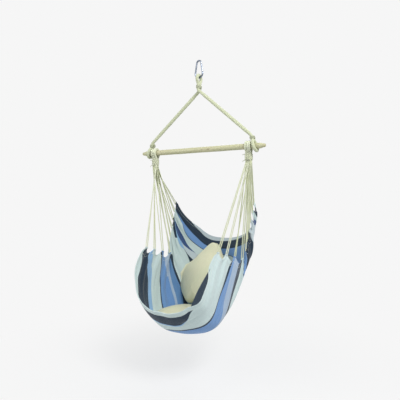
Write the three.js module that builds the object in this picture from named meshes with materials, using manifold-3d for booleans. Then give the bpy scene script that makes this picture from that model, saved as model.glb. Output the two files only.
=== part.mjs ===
// Hammock chair: a striped cotton sling with two cushions, hung by gathered cords from a wooden spreader bar,
// which hangs by a seized rope from a snap hook. Millimetres, +Z up, the bar along X, the sitter faces -Y.
// The origin is the top of the space inside the snap hook, the point that the chair hangs from.
import * as THREE from 'three';
import { mergeVertices } from 'three/addons/utils/BufferGeometryUtils.js';
import Module from 'manifold-3d';

// Gaps between pieces
const seatGap = 0.3; // between pieces that touch
const runningGap = 0.5; // between a rope and the round thing that it turns on
const clothGap = 0.4; // between the cloth and the cushions that lie in it
const pairLead = 4; // how far two strands run side by side before their whipping starts
const overrun = 2; // how far a cutting shape passes the face that it cuts
const weld = 0.0005; // vertices closer than this are one

// Snap hook: a pear of round steel wire, wide end down
const hookLength = 120;
const hookWire = 11;
const hookTopWidth = 42;
const hookFootWidth = 64;
const hookTongue = 4; // thickness of the flattened wire ends
const hingeFromTop = 14; // along the straight leg, from its upper end to the hinge
const latchFromFoot = 7; // along the straight leg, from its lower end to the latch pin
const hookPin = 3;
const latchPlay = 1.2;
const shoulderGap = 0.7;
const springBore = 5.4;
const springDepth = 24;
const springWire = 0.7;
const springTurns = 8;
const plungerLength = 5;

// Hanging rope
const rope = 20;
const hookToBar = 565; // from the origin down to the axis of the bar
const eyeWidth = 50; // between the middles of the two strands of the hanging eye
const eyeNeck = 62; // from the middle of the crown down to where the strands lie side by side
const eyeSeizing = 21; // height of the whipping on the eye
const bendReach = 9; // rope on each side of a corner that its bend takes up
const ropeFromTip = 67; // from the end of the bar to the loop round it
const loopSlant = 18; // degrees that the loop leans, its whipping nearer to the middle of the bar
const loopNeck = 36; // from the bar's axis up along the loop to where its strands lie side by side
const loopRise = 35; // degrees above the bar's axis that the round part of the loop reaches
const loopSeizing = 20;
const loopTail = 8;

// Spreader bar
const barLength = 900;
const barDiameter = 36;
const barTipLength = 34;
const barTipDiameter = 22;
const barTipRound = 7;

// Clews: the cords of each side gathered in an eye on the bar
const clewFromTip = 107; // from the end of the bar to the middle of the clew
const clewWidth = 36;
const clewThickness = 14;
const clewNeck = 40; // from the bar's axis down to where the eye's strands lie side by side
const clewFoot = 86; // from the bar's axis down to the lower end of the eye's strands
const clewDip = 46; // degrees below the bar's axis that the round part of the eye reaches
const clewBevelShare = 0.35; // of the strand's thickness, taken off its corners
const cord = 6.6;
const cordColumns = 5;
const cordLead = 10; // straight stretch of a cord below the clew
const whipCord = 3.6;
const thinWhipCord = 3;
const whipGap = 0.5; // between the turns of a whipping
const whipTail = 18; // loose end of a whipping

// Cloth sling, its places measured from the bar's axis
const clothThickness = 2;
const tabs = 10; // peaks on each end of the cloth, one doubled cord in each
const frontTabs = 3; // spaces between tabs from the front corner to the low point of the side
const tabWidth = 24;
const tabRise = 0.2; // how far the leaning rim of a tab stands over the middle of the cloth's thickness
const scallopDepth = 30; // how far the end sags between two tabs
const foldDepth = 12; // how far the cloth bulges outwards between two tabs
const frontCorner = { halfSpan: 250, y: -226, drop: 618 };
const sideLow = { halfSpan: 270, y: 71, drop: 690 };
const sideStep = 14; // how far the cloth behind the low point hangs outside it
const backCorner = { halfSpan: 300, y: 194, drop: 337 };
const frontLip = { y: -410, drop: 942 };
const seatLow = { y: -89, drop: 1116 };
const backTop = { y: 349, drop: 592 };
const lipReach = 150; // how far the profile runs straight from the lip, from the low point and from the top
const lowReachFront = 170;
const lowReachBack = 150;
const topReach = 240;
const lipSlope = 62; // degrees, of the profile below the lip
const topSlope = 56; // degrees, of the profile below the top
const frontSquareness = 2.5; // 2 hangs as a half ellipse, more as a squarer U, less as a V
const backSquareness = 2.2;
const frontLead = 0.55; // smaller carries the cloth forwards sooner on its way down to the lip
const leadShare = 0.35; // share of the cloth from the front that the lead fades out over

// Cushions
const cushionSide = 345;
const cushionThickness = 120;
const cushionPullShare = 0.06; // how far the sides draw in between the corners
const cushionFullness = 0.38; // smaller is fuller towards the seam
const seatCushionPlace = { ahead: 21, rise: 80, tilt: -5 }; // of its middle, from the low point of the cloth
const backCushionPlace = { x: -50, behind: 226, rise: 311, lean: 35, roll: 55, turned: -25.5 };

// Counts of faces
const ropeSides = 10;
const cordSides = 8;
const whipSides = 5;
const wireSides = 12;
const arcSteps = 12;
const acrossCells = 16;
const cushionCells = 12;
const barSides = 24;

const wasm = await Module();
wasm.setup();

const turn = 2 * Math.PI;
const quarter = turn / 4;
const barZ = -hookToBar;
const ropeAtBar = barLength / 2 - ropeFromTip;
const clewAtBar = barLength / 2 - clewFromTip;
const vec = (x, y, z) => new THREE.Vector3(x, y, z);
const radians = (degrees) => THREE.MathUtils.degToRad(degrees);

const steel = new THREE.MeshStandardMaterial({ color: 0x8d949c, roughness: 0.32, metalness: 0.9 });
const springSteel = new THREE.MeshStandardMaterial({ color: 0xa7adb3, roughness: 0.4, metalness: 0.9 });
const ropeCotton = new THREE.MeshStandardMaterial({ color: 0xdedcc0, roughness: 0.9, metalness: 0 });
const cordCotton = new THREE.MeshStandardMaterial({ color: 0xd2d3ae, roughness: 0.9, metalness: 0 });
const paleWood = new THREE.MeshStandardMaterial({ color: 0xc3bb93, roughness: 0.6, metalness: 0 });
const stripedCotton = new THREE.MeshStandardMaterial({ color: 0x7f9fd2, roughness: 0.85, metalness: 0 });
const creamCotton = new THREE.MeshStandardMaterial({ color: 0xd3d0b0, roughness: 0.85, metalness: 0 });

// A curve that a tube follows ring by ring: each of its points gets one ring, so straight stretches need few.
class Route extends THREE.CatmullRomCurve3 {
  constructor(points) {
    super(points, false, 'centripetal');
  }
  getUtoTmapping(u) {
    return u;
  }
}

// A route in the YZ plane, whose section keeps its width along X.
class FlatRoute extends Route {
  computeFrenetFrames(segments) {
    const tangents = [];
    for (let i = 0; i <= segments; i += 1) {
      tangents.push(this.getTangentAt(i / segments));
    }
    const normals = tangents.map(() => vec(1, 0, 0));
    const binormals = tangents.map((tangent, i) => vec(0, 0, 0).crossVectors(tangent, normals[i]));
    return { tangents, normals, binormals };
  }
}

function roundSection(diameter, sides) {
  const shape = new THREE.Shape();
  for (let i = 0; i < sides; i += 1) {
    const angle = (turn * i) / sides;
    const x = (diameter / 2) * Math.cos(angle);
    const y = (diameter / 2) * Math.sin(angle);
    if (i === 0) {
      shape.moveTo(x, y);
    } else {
      shape.lineTo(x, y);
    }
  }
  shape.closePath();
  return shape;
}

function tubeOn(route, section) {
  const steps = route.points.length - 1;
  return new THREE.ExtrudeGeometry(section, { steps, extrudePath: route, bevelEnabled: false });
}

function tube(points, diameter, sides) {
  return tubeOn(new Route(points), roundSection(diameter, sides));
}

// Points of an arc in the YZ plane at a given x, angles from +Y towards +Z.
function arcYZ(x, centreZ, radius, from, to, steps) {
  const points = [];
  for (let i = 0; i <= steps; i += 1) {
    const angle = from + ((to - from) * i) / steps;
    points.push(vec(x, radius * Math.cos(angle), centreZ + radius * Math.sin(angle)));
  }
  return points;
}

function solidOf(geometry) {
  const bare = geometry.clone();
  bare.deleteAttribute('normal');
  bare.deleteAttribute('uv');
  const merged = mergeVertices(bare, weld);
  const vertProperties = merged.getAttribute('position').array;
  const triVerts = new Uint32Array(merged.index.array);
  return new wasm.Manifold(new wasm.Mesh({ numProp: 3, vertProperties, triVerts }));
}

function geometryOf(solid) {
  const mesh = solid.getMesh();
  const geometry = new THREE.BufferGeometry();
  geometry.setAttribute('position', new THREE.BufferAttribute(mesh.vertProperties, 3));
  geometry.setIndex(new THREE.BufferAttribute(mesh.triVerts, 1));
  geometry.computeVertexNormals();
  return geometry;
}

function cut(geometry, tools) {
  return geometryOf(tools.reduce((left, tool) => left.subtract(solidOf(tool)), solidOf(geometry)));
}

function named(name, geometry, material) {
  const mesh = new THREE.Mesh(geometry, material);
  mesh.name = name;
  return mesh;
}

// Snap hook

const hookTopRadius = (hookTopWidth - hookWire) / 2;
const hookFootRadius = (hookFootWidth - hookWire) / 2;
const hookTopZ = -(hookTopRadius - hookWire / 2);
const hookFootZ = hookTopZ + hookTopWidth / 2 - hookLength + hookFootWidth / 2;
const wireFootZ = hookFootZ - hookFootRadius; // middle of the wire at the foot, where the rope hangs
const legAngle = Math.asin((hookFootRadius - hookTopRadius) / (hookTopZ - hookFootZ));
const legTop = new THREE.Vector2(
  hookTopRadius * Math.cos(legAngle),
  hookTopZ + hookTopRadius * Math.sin(legAngle),
);
const legFoot = new THREE.Vector2(
  hookFootRadius * Math.cos(legAngle),
  hookFootZ + hookFootRadius * Math.sin(legAngle),
);
const legLength = legTop.distanceTo(legFoot);
const hingeAlong = hingeFromTop;
const latchAlong = legLength - latchFromFoot;
const gateEndRadius = hookWire / 2;

// Places a piece made about the origin, its length along +Z, at a distance down the gate's leg.
function onLeg(geometry, along) {
  const placed = geometry.clone();
  placed.rotateY(-legAngle);
  const at = legTop.clone().lerp(legFoot, along / legLength);
  return placed.translate(at.x, 0, at.y);
}

function hookArc(radius, centreZ, from, to) {
  const points = [];
  for (let i = 0; i <= arcSteps; i += 1) {
    const angle = from + ((to - from) * i) / arcSteps;
    points.push(vec(radius * Math.cos(angle), 0, centreZ + radius * Math.sin(angle)));
  }
  return points;
}

// Pin holes and pins run along Y.
function crossPin(diameter, length) {
  return new THREE.CylinderGeometry(diameter / 2, diameter / 2, length, wireSides);
}

// Two plates that flatten a wire end of the given length to a tongue.
function tongueCutters(length) {
  const depth = (hookWire - hookTongue) / 2 + overrun;
  return [1, -1].map((side) => {
    const plate = new THREE.BoxGeometry(hookWire + 2 * overrun, depth, length);
    return plate.translate(0, (side * (hookTongue + depth)) / 2, 0);
  });
}

// Cuts the end of the hinge tongue to a round about the hinge, so that it turns clear of the gate's slot and plunger.
function tongueRounder(radius) {
  const reach = hookWire / 2 + overrun;
  const round = new THREE.CylinderGeometry(radius, radius, 2 * hookWire, 2 * wireSides);
  const block = new THREE.BoxGeometry(2 * reach, hookWire, reach).translate(0, 0, -reach / 2);
  return cut(block, [round]);
}

function snapHookBody() {
  const hingeTongueEnd = hingeAlong + gateEndRadius - shoulderGap;
  const latchTongueEnd = latchAlong - gateEndRadius + shoulderGap;
  const start = legTop.clone().lerp(legFoot, hingeTongueEnd / legLength);
  const end = legTop.clone().lerp(legFoot, latchTongueEnd / legLength);
  const points = [vec(start.x, 0, start.y)];
  points.push(...hookArc(hookTopRadius, hookTopZ, legAngle, turn / 2 - legAngle));
  points.push(...hookArc(hookFootRadius, hookFootZ, turn / 2 - legAngle, turn + legAngle));
  points.push(vec(end.x, 0, end.y));
  const wire = tube(points, hookWire, wireSides);
  const hingeShoulder = hingeAlong - gateEndRadius - shoulderGap;
  const latchShoulder = latchAlong + gateEndRadius + shoulderGap;
  const tongueLength = hingeTongueEnd - hingeShoulder + overrun;
  const tools = [];
  tongueCutters(tongueLength).forEach((plate) => {
    tools.push(onLeg(plate, hingeShoulder + tongueLength / 2));
    tools.push(onLeg(plate, latchShoulder - tongueLength / 2));
  });
  tools.push(onLeg(tongueRounder(gateEndRadius - shoulderGap), hingeAlong));
  tools.push(onLeg(crossPin(hookPin + 2 * seatGap, hookWire + overrun), hingeAlong));
  const slotHeight = hookPin + latchPlay;
  const slot = new THREE.BoxGeometry(hookWire, hookWire, slotHeight);
  tools.push(onLeg(slot.translate(hookPin / 2 + seatGap - hookWire / 2, 0, 0), latchAlong));
  return named('snap_hook_body', cut(wire, tools), steel);
}

// The gate is a bar with round ends about the hinge and the latch pin, slotted at both ends, bored for its spring.
function snapHookGate() {
  const reach = latchAlong - hingeAlong;
  const shape = [];
  for (let i = 0; i <= arcSteps / 2; i += 1) {
    const angle = (quarter * i) / (arcSteps / 2);
    shape.push(new THREE.Vector2(gateEndRadius * Math.sin(angle), -gateEndRadius * Math.cos(angle)));
  }
  for (let i = 0; i <= arcSteps / 2; i += 1) {
    const angle = (quarter * i) / (arcSteps / 2);
    shape.push(new THREE.Vector2(gateEndRadius * Math.cos(angle), reach + gateEndRadius * Math.sin(angle)));
  }
  shape[0].x = 0;
  shape[shape.length - 1].x = 0;
  const bar = new THREE.LatheGeometry(shape, wireSides).rotateX(-quarter);
  const slotWidth = hookTongue + 2 * seatGap;
  const slotDepth = 2 * gateEndRadius + shoulderGap;
  const slot = new THREE.BoxGeometry(hookWire + overrun, slotWidth, slotDepth);
  const hingeSlot = slot.clone().translate(0, 0, gateEndRadius - slotDepth / 2);
  const latchSlot = slot.clone().translate(0, 0, -reach - gateEndRadius + slotDepth / 2);
  const bore = new THREE.CylinderGeometry(springBore / 2, springBore / 2, springDepth, wireSides);
  bore.rotateX(quarter).translate(0, 0, -gateEndRadius - springDepth / 2 + overrun);
  const hole = crossPin(hookPin + 2 * seatGap, hookWire + overrun);
  const latchHole = hole.clone().translate(0, 0, -reach);
  const gate = cut(bar, [hingeSlot, latchSlot, bore, hole, latchHole]);
  return named('snap_hook_gate', onLeg(gate, hingeAlong), steel);
}

function gatePins() {
  return [
    named('gate_hinge_pin', onLeg(crossPin(hookPin, hookWire), hingeAlong), springSteel),
    named('gate_latch_pin', onLeg(crossPin(hookPin, hookWire), latchAlong), springSteel),
  ];
}

// The plunger in the gate's bore presses on the body's rounded tongue, and the spring stands behind it.
function gatePlungerAndSpring() {
  const tongueReach = gateEndRadius - shoulderGap + seatGap;
  const plungerWidth = springBore - 2 * seatGap;
  const plunger = new THREE.CylinderGeometry(plungerWidth / 2, plungerWidth / 2, plungerLength, wireSides);
  plunger.rotateX(quarter).translate(0, 0, -tongueReach - plungerLength / 2);
  const springTop = tongueReach + plungerLength + seatGap;
  const springFoot = gateEndRadius + springDepth - overrun - seatGap;
  const curl = (plungerWidth - springWire) / 2;
  const points = [];
  const stepsPerTurn = 8;
  const steps = springTurns * stepsPerTurn;
  const rise = springFoot - springTop - springWire;
  for (let i = 0; i <= steps; i += 1) {
    const angle = (turn * i) / stepsPerTurn;
    const z = -springTop - springWire / 2 - (rise * i) / steps;
    points.push(vec(curl * Math.cos(angle), curl * Math.sin(angle), z));
  }
  reportLeastGap('gate_spring', points, springWire, stepsPerTurn);
  return [
    named('gate_plunger', onLeg(plunger, hingeAlong), springSteel),
    named('gate_spring', onLeg(tube(points, springWire, whipSides), hingeAlong), springSteel),
  ];
}

// Prints the least gap between the turns of a wound tube, measured between points at least half a turn apart.
function reportLeastGap(name, points, diameter, stepsPerTurn) {
  let least = Infinity;
  for (let i = 0; i < points.length; i += 1) {
    for (let j = i + Math.ceil(stepsPerTurn / 2); j < points.length; j += 1) {
      least = Math.min(least, points[i].distanceTo(points[j]) - diameter);
    }
  }
  console.log(name + ': least gap to itself ' + least.toFixed(2) + ' mm');
}

// One turn round a bundle: a rectangle with round corners, three chords to a corner, each chord touching the bundle.
// It starts where the turn passes the +X, +Y, -X or -Y side, counted from 0.
function bundleOutline(halfX, halfY, corner, reach, startSide) {
  const chords = 3;
  const radius = (corner + reach) / Math.cos(quarter / chords / 2);
  const points = [];
  for (let side = startSide; side < startSide + 4; side += 1) {
    const signX = side % 4 === 0 || side % 4 === 3 ? 1 : -1;
    const signY = side % 4 < 2 ? 1 : -1;
    for (let i = 0; i <= chords; i += 1) {
      const angle = quarter * (side + i / chords);
      const x = signX * (halfX - corner) + radius * Math.cos(angle);
      const y = signY * (halfY - corner) + radius * Math.sin(angle);
      points.push(new THREE.Vector2(x, y));
    }
  }
  return points.filter((point, i) => point.distanceTo(points[(i + 1) % points.length]) > weld);
}

// A whipping: one unbroken cord wound round a bundle along Z, from its top downwards, with a loose end at each end.
function whipping(name, bundle) {
  const { top, height, halfX, halfY, corner, thick, startSide, tail } = bundle;
  const outline = bundleOutline(halfX, halfY, corner, thick / 2 + seatGap, startSide);
  const pitch = thick + whipGap;
  const turns = Math.floor((height - thick) / pitch);
  const steps = turns * outline.length;
  const points = [];
  for (let i = 0; i <= steps; i += 1) {
    const place = outline[i % outline.length];
    points.push(vec(place.x, place.y, top - thick / 2 - (pitch * i) / outline.length));
  }
  reportLeastGap(name, points, thick, outline.length);
  const outwards = vec(Math.cos(quarter * startSide), Math.sin(quarter * startSide), 0);
  const first = points[0].clone().addScaledVector(outwards, tail);
  const last = points[steps].clone().addScaledVector(outwards, tail);
  last.z -= tail / 2;
  const cordPoints = tail > 0 ? [first, ...points, last] : points;
  return named(name, tube(cordPoints, thick, whipSides), ropeCotton);
}

// Hanging rope

const crownZ = wireFootZ + hookWire / 2 + runningGap + rope / 2;
const strandOffset = rope / 2 + runningGap; // from the middle of a pair of strands to the middle of each
const eyeNeckZ = crownZ - eyeNeck;
const seizingTopZ = eyeNeckZ - pairLead;
const seizingFootZ = seizingTopZ - eyeSeizing;
const ropeSplitZ = seizingTopZ - eyeSeizing / 2; // hidden in the whipping
const loopTop = loopNeck + pairLead + loopSeizing; // upper end of the loop's whipping, along the loop

// The eye hangs over the wire, its two strands narrow to the whipping one before the other.
function hangingEye() {
  const centreZ = crownZ - eyeWidth / 2;
  const crown = arcYZ(0, centreZ, eyeWidth / 2, 0, turn / 2, arcSteps);
  const strand = (side) => {
    const points = [];
    const steps = 5;
    for (let i = 1; i <= steps; i += 1) {
      const share = i / steps;
      const eased = (1 - Math.cos((share * turn) / 2)) / 2;
      const y = side * THREE.MathUtils.lerp(eyeWidth / 2, strandOffset, eased);
      points.push(vec(0, y, THREE.MathUtils.lerp(centreZ, eyeNeckZ, share)));
    }
    points.push(vec(0, side * strandOffset, seizingTopZ));
    points.push(vec(0, side * strandOffset, ropeSplitZ + seatGap / 2));
    return points;
  };
  const points = [...strand(1).reverse(), ...crown, ...strand(-1)];
  return named('hanging_eye_rope', tube(points, rope, ropeSides), ropeCotton);
}

// Points of a smooth bend that takes the place of a corner between two straight stretches.
function bendAt(corner, before, after, reach) {
  const start = corner.clone().addScaledVector(before, -reach);
  const end = corner.clone().addScaledVector(after, reach);
  const bend = new THREE.QuadraticBezierCurve3(start, corner, end);
  return [0, 1 / 3, 2 / 3, 1].map((share) => bend.getPoint(share));
}

// Each half of the rope leaves the eye, runs straight to the bar, loops round it and ends beside itself.
// The right half goes on from the eye's front strand, the left half from the one behind it.
function hangingRope(side) {
  const lean = (point) => point.applyAxisAngle(vec(0, 1, 0), -side * radians(loopSlant));
  const onBar = (point) => lean(point).add(vec(side * ropeAtBar, 0, barZ));
  const loopRadius = barDiameter / 2 / Math.cos(radians(loopSlant)) + 2 * runningGap + rope / 2;
  const rise = radians(loopRise);
  const start = vec(0, -side * strandOffset, ropeSplitZ - seatGap / 2);
  const leave = vec(0, start.y, seizingFootZ - bendReach);
  const arrive = onBar(vec(0, -strandOffset, loopTop + bendReach));
  const down = vec(0, 0, -1);
  const out = arrive.clone().sub(leave).normalize();
  const loop = [
    vec(0, -strandOffset, loopNeck + pairLead),
    vec(0, -strandOffset, loopNeck),
    ...arcYZ(0, 0, loopRadius, turn / 2 - rise, turn + rise, arcSteps),
    vec(0, strandOffset, loopNeck),
    vec(0, strandOffset, loopNeck + pairLead),
    vec(0, strandOffset, loopTop + loopTail),
  ];
  const points = [
    start,
    ...bendAt(leave, down, out, bendReach),
    leave.clone().lerp(arrive, 1 / 2),
    ...bendAt(arrive, out, lean(down.clone()), bendReach),
    ...loop.map(onBar),
  ];
  return named((side < 0 ? 'left' : 'right') + '_hanging_rope', tube(points, rope, ropeSides), ropeCotton);
}

function ropeWhippings() {
  const size = { halfX: rope / 2, halfY: strandOffset + rope / 2, corner: rope / 2 };
  const pair = { ...size, thick: thinWhipCord, tail: 0, startSide: 0 };
  const eye = whipping('hanging_eye_whipping', { ...pair, top: seizingTopZ, height: eyeSeizing });
  const loops = [-1, 1].map((side) => {
    const name = (side < 0 ? 'left' : 'right') + '_loop_whipping';
    const loop = whipping(name, { ...pair, top: loopTop, height: loopSeizing });
    loop.geometry.rotateY(-side * radians(loopSlant)).translate(side * ropeAtBar, 0, barZ);
    return loop;
  });
  return [eye, ...loops];
}

// Spreader bar: a turned dowel whose ends taper to a rounded tip

function spreaderBar() {
  const half = barLength / 2;
  const tip = barTipDiameter / 2;
  const profile = [
    new THREE.Vector2(0, half),
    new THREE.Vector2(tip - barTipRound, half),
    new THREE.Vector2(tip - barTipRound / 4, half - barTipRound / 4),
    new THREE.Vector2(tip, half - barTipRound),
    new THREE.Vector2((tip + barDiameter) / 2 - tip / 2 + barTipRound / 2, half - barTipLength / 2),
    new THREE.Vector2(barDiameter / 2, half - barTipLength),
  ];
  const outline = [...profile.map((p) => new THREE.Vector2(p.x, -p.y)), ...profile.reverse()];
  const bar = new THREE.LatheGeometry(outline, barSides).rotateZ(-quarter).translate(0, 0, barZ);
  return named('spreader_bar', bar, paleWood);
}

// Clews

const clewStrand = clewThickness / 2 + seatGap; // from the middle of the clew to the middle of each of its strands
const clewNeckZ = barZ - clewNeck;
const clewFootZ = barZ - clewFoot;

function clewSection() {
  const half = new THREE.Vector2(clewWidth / 2, clewThickness / 2);
  const bevel = clewThickness * clewBevelShare;
  return new THREE.Shape([
    new THREE.Vector2(half.x, bevel - half.y),
    new THREE.Vector2(half.x, half.y - bevel),
    new THREE.Vector2(half.x - bevel, half.y),
    new THREE.Vector2(bevel - half.x, half.y),
    new THREE.Vector2(-half.x, half.y - bevel),
    new THREE.Vector2(-half.x, bevel - half.y),
    new THREE.Vector2(bevel - half.x, -half.y),
    new THREE.Vector2(half.x - bevel, -half.y),
  ]);
}

// The gathered cords go over the bar as a flat served eye and come together in a neck under it.
function clewEye(side) {
  const x = side * clewAtBar;
  const radius = barDiameter / 2 + 2 * runningGap + clewThickness / 2;
  const dip = radians(clewDip);
  const points = [
    vec(x, clewStrand, clewFootZ),
    vec(x, clewStrand, clewNeckZ - pairLead),
    vec(x, clewStrand, clewNeckZ),
    ...arcYZ(x, barZ, radius, -dip, turn / 2 + dip, arcSteps + 2),
    vec(x, -clewStrand, clewNeckZ),
    vec(x, -clewStrand, clewNeckZ - pairLead),
    vec(x, -clewStrand, clewFootZ),
  ];
  const name = (side < 0 ? 'left' : 'right') + '_clew_eye';
  return named(name, tubeOn(new FlatRoute(points), clewSection()), cordCotton);
}

function clewWhipping(side) {
  const wound = whipping((side < 0 ? 'left' : 'right') + '_clew_whipping', {
    top: clewNeckZ - pairLead,
    height: clewNeckZ - pairLead - clewFootZ,
    halfX: clewWidth / 2,
    halfY: clewThickness + seatGap,
    corner: clewThickness / 2,
    thick: whipCord,
    tail: whipTail,
    startSide: 2,
  });
  wound.geometry.translate(side * clewAtBar, 0, 0);
  return wound;
}

// Cloth sling

const middleProfile = new THREE.CurvePath();
{
  const lip = vec(0, frontLip.y, barZ - frontLip.drop);
  const low = vec(0, seatLow.y, barZ - seatLow.drop);
  const top = vec(0, backTop.y, barZ - backTop.drop);
  const fromLip = vec(0, Math.cos(radians(lipSlope)), -Math.sin(radians(lipSlope)));
  const fromTop = vec(0, -Math.cos(radians(topSlope)), -Math.sin(radians(topSlope)));
  const back = vec(0, 1, 0);
  middleProfile.add(
    new THREE.CubicBezierCurve3(
      lip,
      lip.clone().addScaledVector(fromLip, lipReach),
      low.clone().addScaledVector(back, -lowReachFront),
      low,
    ),
  );
  middleProfile.add(
    new THREE.CubicBezierCurve3(
      low,
      low.clone().addScaledVector(back, lowReachBack),
      top.clone().addScaledVector(fromTop, topReach),
      top,
    ),
  );
}

// The end of the cloth on the +X side: level from the front corner, then steeply up to the back corner.
function edgePoint(space) {
  const corner = (place) => vec(place.halfSpan, place.y, barZ - place.drop);
  const low = corner(sideLow);
  if (space <= frontTabs) {
    return corner(frontCorner).lerp(low, space / frontTabs);
  }
  low.x += sideStep;
  return low.lerp(corner(backCorner), (space - frontTabs) / (tabs - 1 - frontTabs));
}

function edgeDirection(space) {
  const step = 0.5;
  return edgePoint(Math.min(space + step, tabs - 1)).sub(edgePoint(Math.max(space - step, 0))).normalize();
}

// The lines of the cloth's mesh that run from end to end, each with its share of the cloth from front to back.
function clothLines() {
  const lines = [];
  const half = tabWidth / 2 / middleProfile.getLength();
  for (let tab = 0; tab < tabs; tab += 1) {
    const share = tab / (tabs - 1);
    const along = edgeDirection(tab);
    [-1, 1].forEach((side) => {
      const end = (tab === 0 && side < 0) || (tab === tabs - 1 && side > 0);
      const edge = edgePoint(tab).addScaledVector(along, end ? 0 : (side * tabWidth) / 2);
      lines.push({ share: share + (end ? 0 : side * half), edge, bulge: 0 });
    });
    if (tab < tabs - 1) {
      const between = share + 1 / (tabs - 1) / 2;
      const middle = middleProfile.getPointAt(between);
      const edge = edgePoint(tab + 1 / 2);
      const hang = vec(0, middle.y - edge.y, middle.z - edge.z).normalize();
      lines.push({ share: between, edge: edge.addScaledVector(hang, scallopDepth), bulge: foldDepth });
    }
  }
  return lines;
}

// A point of the cloth: each line hangs from its two ends as a squarish U through the middle profile.
function clothPoint(line, across) {
  const angle = across * quarter;
  const sine = Math.abs(Math.sin(angle));
  const cosine = Math.abs(Math.cos(angle));
  const squareness = THREE.MathUtils.lerp(frontSquareness, backSquareness, line.share);
  const radius = (sine ** squareness + cosine ** squareness) ** (-1 / squareness);
  const outShare = Math.sign(across) * sine * radius;
  const hangShare = cosine * radius;
  const forwardShare = hangShare ** THREE.MathUtils.lerp(frontLead, 1, Math.min(line.share / leadShare, 1));
  const middle = middleProfile.getPointAt(line.share);
  const bulge = line.bulge * (1 - hangShare) ** 2;
  return vec(
    outShare * (line.edge.x + bulge),
    line.edge.y + (middle.y - line.edge.y) * forwardShare,
    line.edge.z + (middle.z - line.edge.z) * hangShare,
  );
}

// Rows of points of the cloth moved along its normals; a positive offset is towards the sitter.
function clothRows(offset) {
  const rows = clothLines().map((line) => {
    const row = [];
    for (let i = 0; i <= acrossCells; i += 1) {
      row.push(clothPoint(line, (2 * i) / acrossCells - 1));
    }
    return row;
  });
  return rows.map((row, i) =>
    row.map((point, j) => {
      const along = rows[Math.min(i + 1, rows.length - 1)][j].clone().sub(rows[Math.max(i - 1, 0)][j]);
      const across = row[Math.min(j + 1, acrossCells)].clone().sub(row[Math.max(j - 1, 0)]);
      const normal = across.cross(along).normalize();
      return point.clone().addScaledVector(normal, offset);
    }),
  );
}

// Gathers triangles for a surface that is laid out by hand.
class Faces {
  constructor() {
    this.positions = [];
  }
  triangle(a, b, c) {
    [a, b, c].forEach((p) => this.positions.push(p.x, p.y, p.z));
  }
  quad(a, b, c, d) {
    this.triangle(a, b, c);
    this.triangle(a, c, d);
  }
  grid(rows, flipped) {
    for (let i = 0; i + 1 < rows.length; i += 1) {
      for (let j = 0; j + 1 < rows[i].length; j += 1) {
        const [a, b, c, d] = [rows[i][j], rows[i][j + 1], rows[i + 1][j + 1], rows[i + 1][j]];
        this.quad(a, flipped ? d : b, c, flipped ? b : d);
      }
    }
  }
  geometry() {
    const geometry = new THREE.BufferGeometry();
    geometry.setAttribute('position', new THREE.Float32BufferAttribute(this.positions, 3));
    geometry.computeVertexNormals();
    return geometry;
  }
}

// The points round the rim of a grid, in one turn.
function rimOf(rows) {
  const last = rows.length - 1;
  const end = rows[0].length - 1;
  const rim = [];
  for (let j = 0; j < end; j += 1) {
    rim.push(rows[0][j]);
  }
  for (let i = 0; i < last; i += 1) {
    rim.push(rows[i][end]);
  }
  for (let j = end; j > 0; j -= 1) {
    rim.push(rows[last][j]);
  }
  for (let i = last; i > 0; i -= 1) {
    rim.push(rows[i][0]);
  }
  return rim;
}

function clothSling() {
  const inner = clothRows(clothThickness / 2);
  const outer = clothRows(-clothThickness / 2);
  const faces = new Faces();
  faces.grid(inner, false);
  faces.grid(outer, true);
  const innerRim = rimOf(inner);
  const outerRim = rimOf(outer);
  innerRim.forEach((point, i) => {
    const next = (i + 1) % innerRim.length;
    faces.quad(point, outerRim[i], outerRim[next], innerRim[next]);
  });
  return named('cloth_sling', faces.geometry(), stripedCotton);
}

// The space inside the cloth: every line from a point over the seat to the cloth.
function clothSpace() {
  const inner = clothRows(clothThickness / 2 + clothGap);
  const apexShare = 0.5;
  const apex = vec(0, sideLow.y + frontCorner.y, barZ - frontCorner.drop * apexShare);
  const faces = new Faces();
  faces.grid(inner, true);
  const rim = rimOf(inner);
  rim.forEach((point, i) => faces.triangle(point, rim[(i + 1) % rim.length], apex));
  return solidOf(faces.geometry());
}

// Cords

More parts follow.
